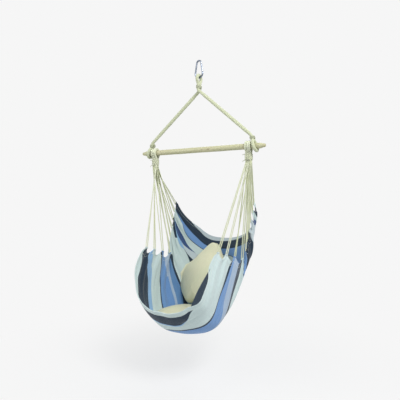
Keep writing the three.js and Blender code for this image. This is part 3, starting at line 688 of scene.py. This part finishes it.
def hanging_rope(side, name):
    """Half of the rope: out of the eye's whipping, straight to the bar, round it and up beside itself."""
    radius = bar_radius / math.cos(math.radians(loop_lean)) + 0.001 + rope / 2
    y = -side * pair
    arrive = on_bar(side, [[0, -pair, loop_top + 0.009]])[0]
    down, up = [[[0, way * pair, z] for z in (loop_neck, loop_neck + 0.004)] for way in (-1, 1)]
    loop = [*down[::-1], *arc(0, 0, radius, 145, 395, 36), *up, [0, pair, loop_top + 0.0075]]
    path = rounded([[0, y, split_z], [0, y, -0.1835], arrive, *on_bar(side, loop)], 0.012, 0.0024)
    along = lengths(path)
    thicker = 0.13 * smooth(0.05, 0.09, along) * (1 - smooth(0.44, 0.49, along))
    swell = 1 + thicker + 0.02 * np.sin(along * 70 + side)
    piece = f"laid_{name}_rope", *on_ropes, f"{name}_hanging_rope"
    laid_piece(piece, path, rope, rope_lay, swell=np.minimum(swell, 1.14), tone=0.35)


# %% [markdown]
# ## Whippings
# A thin cord is wound round the strands and holds them together: below the eye, above each loop, and under
# the bar at each clew. A stack of rings would be simpler, but the real cord is one length, so one path goes
# round a rectangle with round corners, a pitch lower with each turn.

# %% Whippings
rope_bundle = {
    "half_x": rope / 2, "half_y": pair + rope / 2, "corner": rope / 2, "thick": 0.003, "start_side": 0,
}
clew_bundle = {
    "half_x": clew_half, "half_y": 0.0143, "corner": 0.007, "thick": 0.0036, "start_side": 2, "tail": 0.018,
}
whipping_lay = {"strands": 3, "sides": 12, "lay": 0.012, "hollow": 0.08}


def whipping_path(top, height, half_x, half_y, corner, thick, start_side, tail=0):
    """A cord wound round a bundle along Z: a rectangle with round corners, one pitch lower with each turn."""
    reach = corner + thick / 2 + 0.0003
    outline = []
    for side in range(start_side, start_side + 4):
        sign_x, sign_y = [(1, 1), (-1, 1), (-1, -1), (1, -1)][side % 4]
        a = np.radians(np.linspace(0, 90, 8) + 90 * side)
        x = sign_x * (half_x - corner) + reach * np.cos(a)
        y = sign_y * (half_y - corner) + reach * np.sin(a)
        outline.append(spread_pairs(x, y))
    outline = np.concatenate([*outline, outline[0][:1]])
    far = lengths(outline)
    turns = math.floor((height - thick) / (thick + 0.0005))
    share = np.linspace(0, turns, turns * 64 + 1)
    place = read_at(share % 1 * far[-1], far, outline)
    path = np.column_stack([place, top - thick / 2 - (thick + 0.0004) * share])
    if tail:
        out = np.array([*cos_sin(90 * start_side), 0]) * tail
        bend = np.linspace(1, 0.1, 8)[:, None]
        first = path[0] + out * bend + [0, 0, -0.25 * tail] * bend**2
        last = path[-1] + out * bend[::-1] + [0, 0, -0.5 * tail] * bend[::-1] ** 2
        path = np.concatenate([first, path, last])
    return evenly(path, 0.0016)


def whippings():
    """The whippings on the eye and the two loops, and those of the clews with their loose ends."""
    piece = "wound_eye_whipping", *on_ropes, "hanging_eye_whipping"
    eye = whipping_path(seizing_top_z, 0.021, **rope_bundle)
    # painted light: the eye's whipping has a lighter tone than the loops' to lift the shade between its turns
    laid_piece(piece, eye, 0.0037, {**whipping_lay, "hollow": 0.05}, tone=0.1)
    for side, name in side_names.items():
        piece = f"wound_{name}_loop", *on_ropes, f"{name}_loop_whipping"
        loop = on_bar(side, whipping_path(loop_top, 0.020, **rope_bundle))
        laid_piece(piece, loop, 0.0037, whipping_lay, tone=0.3)
        piece = f"wound_{name}_clew", *on_cords, f"{name}_clew_whipping"
        clew = whipping_path(bar_z - 0.044, 0.042, **clew_bundle) + [side * clew_x, 0, 0]
        laid_piece(piece, clew, 0.0044, whipping_lay, tone=0.3)


hanging_eye()
for side, name in side_names.items():
    hanging_rope(side, name)
whippings()

# %% [markdown]
# ## Clews and doubled cords
# Ten strands in two layers go over the bar at each clew. Below its whipping, twenty strands spread to the
# ten tabs. A cord could be a curve that sags, but the cloth's weight pulls each one straight, so its path
# is straight stretches with rounded corners.

# %% Cloth outline
tabs = 10
cord = 0.0066
cord_lay = {"strands": 3, "sides": 18, "lay": 0.018, "hollow": 0.16}
front_tabs = 3
tab_width = 0.024
front_corner = np.array([0.250, -0.226, bar_z - 0.618])
side_low = np.array([0.270, 0.071, bar_z - 0.690])
behind_low = side_low + [0.014, 0, 0]
back_corner = np.array([0.300, 0.194, bar_z - 0.337])


def edge_point(space):
    """A point of the +X end of the cloth, counted in spaces between tabs from the front corner."""
    space = np.asarray(space, float)[..., None]
    front = front_corner + (side_low - front_corner) * space / front_tabs
    rear = behind_low + (back_corner - behind_low) * (space - front_tabs) / (tabs - 1 - front_tabs)
    return np.where(space <= front_tabs, front, rear)


def edge_direction(space):
    """The direction of that end from front to back."""
    return unit(edge_point(min(space + 0.5, tabs - 1)) - edge_point(max(space - 0.5, 0)))


# %% Clews and cords
clew_drop = 0.086  # from the bar's axis down to the lower end of the clew's eye
strand_pitch = 0.0072
layer_pitch = 0.007
leg_reach = 0.0087  # from the middle of a tab to each leg of its cord
corner_shift = 0.00765  # of both legs at the cloth's corners, where a tab has half its width


def tab_ends(tab):
    """Where the two legs of a cord meet its tab on the +X side, and the direction out of the cloth."""
    along = edge_direction(tab)
    shift = {0: corner_shift, tabs - 1: -corner_shift}.get(tab, 0)
    up = unit(np.array([clew_x, 0, bar_z - clew_drop]) - edge_point(tab))
    lift = unit(up - along * (up @ along))
    return [edge_point(tab) + along * (way * leg_reach + shift) + lift * 0.0038 for way in (-1, 1)], lift


def doubled_cord(side, side_name, tab):
    """One cord: down from the clew, through the sleeve on its tab, and back up beside itself."""
    feet, lift = tab_ends(tab)
    middle = (feet[0] + feet[1]) / 2
    halves = []
    for leg, foot in zip((2 * tab, 2 * tab + 1), feet):
        column, row = leg % 5, leg // 5
        x = side * (clew_x - clew_half + (column + 0.5) * strand_pitch)
        start = np.array([x, (row - 1.5) * layer_pitch, bar_z - clew_drop - 0.0003])
        on_tab = np.array([foot + lift * cord, foot + (middle - foot) / 3]) * [side, 1, 1]
        halves.append([start + [0, 0, 0.010], start - [0, 0, 0.010], *on_tab])
    name = f"{side_name}_cord_{tab + 1:02d}"
    tone = 0.25 + (tab * 7 + (3 if side > 0 else 0)) % 10 * 0.07
    path = rounded([*halves[0], *halves[1][::-1]], 0.010, 0.0026)
    laid_piece((f"laid_{name}", *on_cords, name), path, cord, cord_lay, tone=tone)


def clew_eye(side, name):
    """Five strands side by side in two layers, over the bar and down into the whipping."""
    rng = np.random.default_rng(5 + side)
    shape = Shape()
    for layer in range(2):
        radius = 0.0225 + layer_pitch * layer
        leg = 0.0038 + layer_pitch * layer
        for column in range(5):
            x = side * clew_x + (column - 2) * strand_pitch
            over = arc(x, bar_z, radius, -46, 226, 40)
            over[:, 0] += 0.0009 * np.sin(np.linspace(0, 5, len(over)) + rng.uniform(0, 6))
            front = [[x, -leg, bar_z - 0.040], [x, -leg, bar_z - clew_drop]]
            back = [[x, leg, bar_z - clew_drop], [x, leg, bar_z - 0.040]]
            path = rounded([*back, *over, *front], 0.008, 0.0022)
            # painted light: the clew's strands have a lighter tone than the cords to lift the shade inside
            # the bundle
            laid(shape, path, strand_pitch, 3, 18, 0.02, 0.14, tone=rng.uniform(0.0, 0.3))
    shape.piece(f"stranded_{name}_clew", *on_cords, f"{name}_clew_eye")


for side, name in side_names.items():
    clew_eye(side, name)
    for tab in range(tabs):
        doubled_cord(side, name, tab)

# %% [markdown]
# ## Spreader bar
# A turned dowel of 36 mm, slightly uneven as turned wood is, with tapered and rounded tips. A cylinder with
# bevelled ends would be too even, so a profile is turned about X, as on a lathe, and slow waves are added
# to it.

# %% Spreader bar
tip_x = [0.450, 0.450, 0.4483, 0.443, 0.433, 0.416, 0.405, 0.380]
tip_radius = [0.0, 0.004, 0.0092, 0.0108, 0.0125, 0.0178, 0.018, 0.018]


def spreader_bar():
    """A lathe about X: the radius is the tip's profile, plus a few tenths of a millimetre of slow waves."""
    tip = rounded(np.stack([tip_x, tip_radius, np.zeros(len(tip_x))], -1), 0.006, 0.0016)[:, :2]
    body = spread_pairs(np.linspace(0.378, -0.378, 260), bar_radius)
    line = np.concatenate([tip, body, (tip * [-1, 1])[::-1]])
    angle = np.linspace(0, math.tau, 73)
    x, r = line[:, :1], line[:, 1:]
    uneven = 0.00025 * np.sin(x * 23 + angle[:-1]) + 0.0002 * np.sin(x * 61 + 2 * angle[:-1] + 1)
    r = np.maximum(r + (uneven - 0.0004) * (r > 0.009), 0.00005)
    points = np.stack([x + 0 * r, r * np.cos(angle[:-1]), bar_z + r * np.sin(angle[:-1])], -1)
    shape = Shape()
    shape.grid(points[:, ::-1], spread_pairs(x, angle[None] * bar_radius), around=True, capped=True)
    shape.piece("turned_spreader_bar", "pale_wood", "suspension", "spreader_bar")


spreader_bar()

# %% [markdown]
# ## Cloth
# The cloth hangs from its two ends as squarish U lines through a middle profile of two Bezier curves. It is
# a closed sheet of 2 mm, whose inner and outer side both store the stripes' values. A cloth simulation
# could find how it hangs, but a formula keeps its rim, tabs and folds where the photograph has them.

# %% Cloth shape
lip = np.array([0, -0.410, bar_z - 0.942])
low = np.array([0, -0.089, bar_z - 1.116])
top = np.array([0, 0.349, bar_z - 0.592])
backwards = np.array([0, 1.0, 0])
half_cut = 0.575  # half the width of the flat cloth
scallop = 0.030
cloth_thickness = 0.002


def bezier(a, b, c, d):
    """Points of the cubic Bezier curve with these four control points."""
    t = np.linspace(0, 1, 300)[:, None]
    return (1 - t) ** 3 * a + 3 * (1 - t) ** 2 * t * b + 3 * (1 - t) * t**2 * c + t**3 * d


def slope(degrees, way):
    """A direction down a slope in the YZ plane, backwards or forwards."""
    cosine, sine = cos_sin(degrees)
    return np.array([0, way * cosine, -sine])


profile = np.concatenate([
    bezier(lip, lip + slope(62, 1) * 0.150, low - backwards * 0.170, low),
    bezier(low, low + backwards * 0.150, top + slope(56, -1) * 0.240, top)[1:],
])
profile_along = lengths(profile)
cloth_length = profile_along[-1]
print(f"the cloth is {cloth_length:.3f} m long from its front lip to its back hem")


def middle_point(share):
    """The point of the middle profile at a share of its length from the front lip."""
    return read_at(share * cloth_length, profile_along, profile)


def edge_table():
    """The shares and the places of both ends of each tab."""
    half = tab_width / 2
    rows = []
    for tab in range(tabs):
        for way in (-1, 1):
            out = 0 if (tab, way) in ((0, -1), (tabs - 1, 1)) else way
            place = edge_point(tab) + edge_direction(tab) * out * half
            rows.append([tab / (tabs - 1) + out * half / cloth_length, *place])
    return np.array(rows)


edges = edge_table()


def edge_at(share):
    """The end of the cloth at a share, and its bulge: both follow the scallop 4 w (1 - w) between tabs."""
    place = read_at(share, edges[:, 0], edges[:, 1:])
    i = np.clip(np.searchsorted(edges[:, 0], share, side="right") - 1, 0, len(edges) - 2)
    w = (share - edges[i, 0]) / (edges[i + 1, 0] - edges[i, 0])
    dip = np.where(i % 2 == 1, 4 * w * (1 - w), 0)
    hang = unit((middle_point(share) - place) * [0, 1, 1])
    return place + hang * (scallop * dip)[..., None], 0.012 * dip


def drift(x, y, seed):
    """Slow noise of about 1 period per unit: a sum of 9 sine waves of seeded directions and phases."""
    rng = np.random.default_rng(seed)
    total = 0
    for _ in range(9):
        heading, phase, pace = rng.uniform(0, math.tau), rng.uniform(0, math.tau), rng.uniform(0.6, 1.7)
        total = total + np.sin(math.tau * pace * (x * math.cos(heading) + y * math.sin(heading)) + phase)
    return total / 3


def cloth_point(share, across):
    """The cloth at a share from front to back and a place across it from -1 to 1.

    With a = across pi / 2 and q from 2.5 at the front to 2.2 at the back, the reach r is
    (|sin a|^q + |cos a|^q)^(-1/q). The line goes out by r sin a of the end's half span and down by r cos a
    of the way to the middle profile. The front rim is squarer on the right, where a cushion's corner pushes
    it out, and the back hem is straighter on the left.
    """
    edge, bulge = edge_at(share)
    a = across * math.pi / 2
    sine, cosine = np.abs(np.sin(a)), np.abs(np.cos(a))
    pushed = smooth(0.38, 0.58, across) * (1 - smooth(0.60, 0.90, across)) * (1 - smooth(0.02, 0.17, share))
    taut = (1 - smooth(-0.45, -0.1, across)) * smooth(0.70, 1.0, share)
    q = 2.5 - 0.3 * share + 0.9 * pushed - 0.55 * taut
    r = (sine**q + cosine**q) ** (-1 / q)
    out, hang = np.sign(across) * sine * r, cosine * r
    forward = hang ** (0.55 + 0.45 * np.minimum(share / 0.35, 1))
    middle = middle_point(share)
    bulged = edge[..., 0] + bulge * (1 - hang) ** 2
    y = edge[..., 1] + (middle[..., 1] - edge[..., 1]) * forward - 0.006 * pushed
    z = edge[..., 2] + (middle[..., 2] - edge[..., 2]) * hang + 0.006 * pushed
    return np.stack([out * bulged + 0.018 * pushed, y, z], -1)


# each broad bulge: its height, its place across and half width there, its share and half length
bulges = [(-0.034, 0.46, 0.19, 0.25, 0.12), (0.026, 0.50, 0.14, 0.48, 0.11), (-0.018, 0.74, 0.15, 0.72, 0.13)]


def folds(share, across):
    """How far folds lift the cloth towards the sitter, in metres.

    Folds run down from the tabs and fade towards the seat, the front rim is slack, and on the right the
    turned-in hem bulges out in front of a crease that runs beside the rim. The seat cushion's corner pushes
    the cloth out under it.
    """
    along, out = share * cloth_length, across * half_cut
    ends = smooth(0.35, 1.0, np.abs(across))
    seated = smooth(0.25, 0.7, np.abs(across)) * 0.75 + 0.25
    height = 0.0042 * ends * drift(along / 0.075, out / 0.50, 3)
    height += 0.0022 * ends * drift(along / 0.034, out / 0.34, 8)
    height += 0.0022 * seated * drift(along / 0.20, out / 0.24, 12)
    height += 0.0030 * np.exp(-along / 0.05) * drift(out / 0.19, along / 0.3, 21)
    right = smooth(0.12, 0.35, across) * (1 - smooth(0.9, 1.0, across))
    crease = 0.005 * hump(along, 0.088, 0.012)
    height += right * (crease - 0.007 * np.sin(np.clip(along / 0.085, 0, 1) * math.pi))
    for lift, place, wide, middle, long in bulges:
        height += lift * hump(across, place, wide) * hump(share, middle, long)
    height += 0.004 * smooth(0.5, 0.9, across) * hump(along + 0.30 * out, 0.46, 0.022)
    pinned = np.minimum(1, (1 - np.abs(across)) / 0.03)
    return height * pinned


def cloth_grid(shares, places, side):
    """The grid of one side of the cloth: 1 towards the sitter, -1 away, 0 its middle."""
    share, across = np.meshgrid(shares, places, indexing="ij")
    middle = cloth_point(share, across)
    normal = unit(np.cross(np.gradient(middle, axis=1), np.gradient(middle, axis=0)))
    turned_in = np.exp(-((share / 0.055) ** 4)) * smooth(0.15, 0.4, across) * 0.0012 * (side > 0)
    lift = folds(share, across) + side * cloth_thickness / 2 + turned_in
    return middle + normal * lift[..., None]


# %% Cloth, hems and sleeves
def cloth_values(share, across):
    """What the material reads: the two places, the distance to the nearest edge, and the way along it."""
    out = (1 - np.abs(across)) * half_cut
    along = share * cloth_length
    ends = np.minimum(along, (1 - share) * cloth_length)
    run = np.where(out <= ends, along, across * half_cut)
    return {"share": share, "across": across, "rim": np.minimum(ends, out), "run": run}


def cloth_sling():
    """The closed sheet: both sides as grids, joined round the rim by a third grid."""
    shares = np.linspace(0, 1, 208)
    crowding = math.pi / 2 * 0.82  # the columns stand closer towards both ends
    places = np.sin(np.linspace(-1, 1, 231) * crowding) / math.sin(crowding)
    share, across = np.meshgrid(shares, places, indexing="ij")
    uv = np.stack([across * half_cut, share * cloth_length], -1)
    values = cloth_values(share, across)
    shape = Shape()
    loops = []
    for side in (1, -1):
        points = cloth_grid(shares, places, side)
        loops.insert(0, round_of(points))
        ordered = {key: value[:, ::side] for key, value in values.items()}
        shape.grid(points[:, ::side], uv[:, ::side], **ordered)
    flat = round_of(uv)
    flat = np.concatenate([flat, flat[:1]])
    kept = {key: round_of(value) for key, value in values.items()}
    shape.grid(np.stack(loops), np.stack([flat, flat]), around=True, **kept)
    return shape.piece("hung_cloth", "striped_cotton", "seat", "cloth_sling")


def rolled_hems():
    """A thin roll along all four edges, which the cloth's edge is folded round, and a sleeve on each tab."""
    shape = Shape()
    t = np.linspace(-0.985, 0.985, 330)
    s = np.linspace(0, 1, 420)
    near = 0.004
    for share, across, radius in (
        (0 * t, t, 0.0030), (0 * t + 1, t, 0.0026), (s, 0 * s - 1, 0.0024), (s, 0 * s + 1, 0.0024)
    ):
        grown = [cloth_point(np.clip(share + d, 0, 1), across) for d in (-near, near)]
        wide = [cloth_point(share, np.clip(across + d, -1, 1)) for d in (-near, near)]
        normal = unit(np.cross(wide[1] - wide[0], grown[1] - grown[0]))
        path = cloth_point(share, across) + normal * folds(share, across)[:, None]
        even = evenly(path, 0.003)
        part = np.linspace(0, 1, len(even))
        far = lengths(path) / lengths(path)[-1]
        places = {"share": np.interp(part, far, share), "across": np.interp(part, far, across)}
        tube(shape, even, radius, 0.003, rim=0.002, run=0.004, **places)
    for side in (-1, 1):
        for tab in range(tabs):
            feet, lift = tab_ends(tab)
            over = (feet[1] - feet[0]) * 0.12
            path = evenly((np.array([feet[0] - over, feet[1] + over]) - lift * 0.0006) * [side, 1, 1], 0.0012)
            radius = 0.0047 + 0.0003 * np.cos(np.linspace(-1, 1, len(path)) * math.pi)[:, None, None]
            tube(shape, path, radius, 0.003, 14, rim=0.01, run=0.004, share=tab / (tabs - 1), across=side)
    shape.piece("rolled_hems", "striped_cotton", "seat")


def hem_flap():
    """The loose inner layer of the hem on the right: its free edge cuts straight across the bend of the rim.

    At a place t the flap goes from the rim R(t) to the chord R(a) + (R(b) - R(a)) g, where g is the share
    of the rim's length from a to b that lies before t. The chord is drawn in by 14 mm in its middle, and
    the flap sags by 4 mm.
    """
    t = np.linspace(0.44, 0.86, 60)
    rim = cloth_point(0 * t, t)
    part = lengths(rim) / lengths(rim)[-1]
    sag = np.sin(part * math.pi)[:, None]
    chord = rim[0] + (rim[-1] - rim[0]) * part[:, None] + sag * [-0.012, 0, -0.008]
    out = np.concatenate([np.linspace(0.02, 1, 9), np.linspace(1, 0.02, 9)])
    side = np.repeat([1, -1], 9)
    width = (chord - rim)[:, None] * out[None, :, None]
    dip = (np.sin(out * math.pi) * 0.004)[None, :, None] * sag[:, None] * [0, 0, -1.0]
    layer = (side * 0.0009)[None, :, None] * [0.3, 0.3, 0.9]
    uv = spread_pairs(t[:, None] * half_cut, np.linspace(0, 0.09, 19)[None])
    shape = Shape()
    points = rim[:, None] + width + dip + layer
    shape.grid(points, uv, around=True, capped=True, share=0.05, across=0.0, rim=0.05, run=0.0)
    shape.piece("hem_flap", "striped_cotton", "seat")


sling = cloth_sling()
rolled_hems()
hem_flap()

# %% [markdown]
# ## Cushions
# Two square covers are sewn together at their edges and blown up by a cloth simulation, scaled to the
# cushion's size, put in place, and pressed clear of the cloth and of each other. A piped seam runs round
# each. A formula alone gives a plain pillow. The simulation adds the puckers along its seam, and pressing
# flattens it where it lies against something.

# %% Cushions
cushion_side = 0.362
cushion_thickness = 0.126
cover_half = 0.19  # half the side of a flat cover
piping_radius = 0.0022
face_clear = 0.0028  # how far a cushion's faces stay from the middle of the cloth
seam_clear = 0.0052
presses = 7
simulated_steps = 26
air = {
    "quality": 7, "mass": 0.3, "tension_stiffness": 20, "compression_stiffness": 12, "shear_stiffness": 6,
    "bending_stiffness": 0.35, "use_pressure": True, "uniform_pressure_force": 5,
}


class Pillow:
    """Two square sheets of a cover that share their rim."""

    def __init__(self, cells):
        n = cells + 1
        self.upper = np.arange(n * n).reshape(n, n)
        self.lower = self.upper.copy()
        self.lower[1:-1, 1:-1] = n * n + np.arange((n - 2) ** 2).reshape(n - 2, n - 2)
        place = np.linspace(-1, 1, n)
        self.u, self.v = np.meshgrid(place, place, indexing="ij")
        self.rim = round_of(self.upper)
        self.count = n * n + (n - 2) ** 2

    def points(self, height, drawn):
        """Points crowned by height ((1 - u^2)(1 - v^2))^0.34, the sides drawn in between the corners."""
        u, v = self.u, self.v
        half = cushion_side / 2 * (1 - 0.12 * (u * v) ** 4)
        x = half * u * (1 - (drawn - 0.13 * (u < 0)) * (1 - v * v) * u * u)
        y = half * v * (1 - (drawn + 0.10 * (v > 0)) * (1 - u * u) * v * v)
        z = height * np.maximum((1 - u * u) * (1 - v * v), 0) ** 0.34
        made = np.zeros((self.count, 3))
        made[self.lower] = np.stack([x, y, -z], -1)
        made[self.upper] = np.stack([x, y, z], -1)
        return made

    def quads(self):
        """The faces of both sides, each facing out, with their places on the flat cut."""
        uv = np.stack([self.u, self.v], -1) * cover_half
        sets = []
        for number, order in ((self.upper, [0, 3, 2, 1]), (self.lower, [1, 2, 3, 0])):
            corners, places = fours(number, -1)[..., order], fours(uv, -2)[..., order, :]
            sets.append((corners.reshape(-1, 4), places.reshape(-1, 2)))
        return sets


def blown_up(pillow, seed):
    """The pillow's points after 26 steps of a cloth simulation with air pressure inside it and no gravity."""
    rng = np.random.default_rng(seed)
    start = pillow.points(0.012, 0.0) * [1.12, 1.12, 1]
    start[:, 2] += rng.normal(0, 0.0004, len(start))
    mesh = bpy.data.meshes.new("cover")
    mesh.from_pydata(start.tolist(), [], np.concatenate([q for q, _ in pillow.quads()]).tolist())
    cover = link("cover", mesh)
    cloth = cover.modifiers.new("fill", "CLOTH")
    for key, value in air.items():
        setattr(cloth.settings, key, value)
    cloth.settings.effector_weights.gravity = 0
    cloth.collision_settings.use_collision = False
    cloth.point_cache.frame_end = simulated_steps
    for number in range(1, simulated_steps + 1):
        scene.frame_set(number)
    shown = cover.evaluated_get(bpy.context.evaluated_depsgraph_get())
    made = np.zeros(len(start) * 3, np.float32)
    shown.data.vertices.foreach_get("co", made)
    scene.frame_set(1)
    bpy.data.objects.remove(cover)
    return made.reshape(-1, 3).astype(float)


def fitted(pillow, points):
    """The simulated pillow at its size, then three quarters of the way from there to the plain shape."""
    size = points.max(0) - points.min(0)
    middle = (points.max(0) + points.min(0)) / 2
    scaled = (points - middle) * [cushion_side / size[0], cushion_side / size[1], cushion_thickness / size[2]]
    return scaled * 0.25 + pillow.points(cushion_thickness / 2, -0.04) * 0.75


def tree_of(points, quads):
    """A search tree of faces."""
    return BVHTree.FromPolygons(points.tolist(), quads.tolist())


def pressed(points, quads, others, clear):
    """Moves points that are inside a neighbour out along its nearest normal, and smooths what moved.

    others is a list of trees whose faces look towards the cushion, each with how far away it is looked for,
    and clear is the least distance at each point.
    """
    edges = np.concatenate([quads[:, [0, 1]], quads[:, [1, 2]], quads[:, [2, 3]], quads[:, [3, 0]]])
    count = np.bincount(edges.ravel(), minlength=len(points))[:, None]

    def mean_of(values):
        """The mean of the values at each point's neighbours."""
        total = np.zeros_like(values)
        np.add.at(total, edges[:, 0], values[edges[:, 1]])
        np.add.at(total, edges[:, 1], values[edges[:, 0]])
        return total / count

    for turn in range(presses):
        moved = np.zeros(len(points), bool)
        for tree, reach in others:
            for i, point in enumerate(points):
                found, normal, _, _ = tree.find_nearest(Vector(point), reach)
                if found is None:
                    continue
                away = (Vector(point) - found).dot(normal)
                if away < clear[i]:
                    points[i] = np.array(Vector(point) + normal * (clear[i] - away))
                    moved[i] = True
        if turn == presses - 1:
            break
        near = moved.astype(float)[:, None]
        for _ in range(3):
            near = np.maximum(near, mean_of(near))
        points = points + (mean_of(points) - points) * np.minimum(near, 1) * 0.5
    return points


def cushion(name, seed, place, others):
    """A cushion: blown up, placed, pressed clear, and subdivided once, with a piped seam round it."""
    pillow = Pillow(64)
    points = fitted(pillow, blown_up(pillow, seed))
    quads = np.concatenate([q for q, _ in pillow.quads()])
    clear = np.full(pillow.count, face_clear)
    clear[pillow.rim] = seam_clear
    points = pressed(place(points), quads, others, clear)
    shape = Shape()
    for corners, uv in pillow.quads():
        shape.faces(corners, uv)
    shape.points = [points]
    made = shape.piece(f"stuffed_{name}", "cream_cotton", name, name)
    rounder = made.modifiers.new("rounder", "SUBSURF")
    rounder.levels = rounder.render_levels = 1
    ring = points[pillow.rim]
    piping = Shape()
    tube(piping, evenly(np.concatenate([ring, ring[:1]]), 0.0035), piping_radius, piping_radius)
    piping.piece(f"{name}_piping", "cream_cotton", name)
    return points, quads


def seat_place(points):
    """The seat cushion, in the low of the cloth, its back 5 degrees down."""
    return turned_about(points, 0, -5) + [0, -0.110, bar_z - 1.036]


def back_place(points):
    """The back cushion, on one corner, leaned back by 35 degrees and its face turned towards the left."""
    turned = turned_about(turned_about(points, 2, 55), 0, 90 - 35)
    return turned_about(turned, 2, -23.5) + [-0.045, 0.137, bar_z - 0.806]


def cloth_tree():
    """The cloth's middle sheet, its faces towards the sitter."""
    grid = cloth_grid(np.linspace(0, 1, 140), np.linspace(-1, 1, 121), 0)
    number = np.arange(grid.shape[0] * grid.shape[1]).reshape(grid.shape[:2])
    return tree_of(grid.reshape(-1, 3), fours(number, -1).reshape(-1, 4))


sheet_tree = cloth_tree()
seat_tree = tree_of(*cushion("seat_cushion", 11, seat_place, [(sheet_tree, 0.2)]))
cushion("back_cushion", 23, back_place, [(sheet_tree, 0.2), (seat_tree, 0.06)])

# %% [markdown]
# ## Snap hook
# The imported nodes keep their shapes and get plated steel. They could be made again here, but their bent
# wire and turned pins are already exact, and the gate turns on its hinge as it is.

# %% Snap hook
metals = {
    "hook_steel": ("snap_hook_body", "snap_hook_gate"),
    "pin_steel": ("gate_hinge_pin", "gate_latch_pin", "gate_plunger", "gate_spring"),
}
for metal, names in metals.items():
    for name in names:
        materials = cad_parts[name].data.materials
        materials.clear()
        materials.append(finishes[metal])

# %% [markdown]
# ## Room and light
# A pale room: the world and the floor show one pale grey to the camera, and the floor keeps a soft shadow.
# More light could whiten the background too, but it would bleach the cloth, so the grey is in what the
# camera sees. A large soft light stands high on the right in front, a weaker one on the left at the hook's
# height, and the weakest behind.

# %% Room and light
backdrop = (0.922, 0.922, 0.922, 1)
floor_z = -1.95
floor_half = 14.0


def room():
    """A world of the background's grey to the camera and in reflections, and softer light elsewhere."""
    finish = Finish("room", world=True)
    scene.world = finishes["room"]
    finish.set(Color=backdrop, Strength=1.0)
    ambient = finish.node("Background", (0.94, 0.97, 1.0, 1), 0.54)
    camera_ray, glossy_ray = [finish.node("LightPath", out=f"Is {kind} Ray") for kind in ("Camera", "Glossy")]
    finish.end("World Output", camera_ray.math("MAXIMUM", glossy_ray), ambient, finish.main)


def floor():
    """A floor 0.27 m below the cloth: plain grey far away, and partly shaded by the lights close by."""
    mesh = bpy.data.meshes.new("floor")
    corners = [(x * floor_half, y * floor_half, floor_z) for x, y in ((-1, -1), (1, -1), (1, 1), (-1, 1))]
    mesh.from_pydata(corners, [], [(0, 1, 2, 3)])
    finish = Finish("pale_floor")
    x, y, _ = finish.split(finish.place())
    far = (x * x + y * y) ** 0.5
    finish.set(Base_Color=(0.75, 0.75, 0.75, 1), Roughness=0.9)
    glow = finish.node("Emission", backdrop, 1.0)
    share = finish.node("LightPath", out="Is Camera Ray") * (far.step(0.1, 1.6) * 0.35 + 0.65)
    finish.end("Material Output", share, finish.main, glow)
    mesh.materials.append(finishes["pale_floor"])
    link("floor", mesh)


def area_light(name, place, target, size, power):
    """A square lamp at a place that looks at a target."""
    data = bpy.data.lights.new(name, "AREA")
    data.size = size
    data.energy = power
    lamp = link(name, data)
    lamp.location = place
    lamp.rotation_euler = (Vector(target) - Vector(place)).to_track_quat("-Z", "Y").to_euler()


room()
floor()
area_light("key", (2.5, -1.3, 1.6), (0, 0, -1.1), 1.6, 118)
area_light("fill", (-2.1, -2.2, 0.0), (0, 0, -1.1), 1.8, 34)
area_light("back", (-0.8, 2.8, 0.6), (0, 0, -1.0), 1.6, 26)
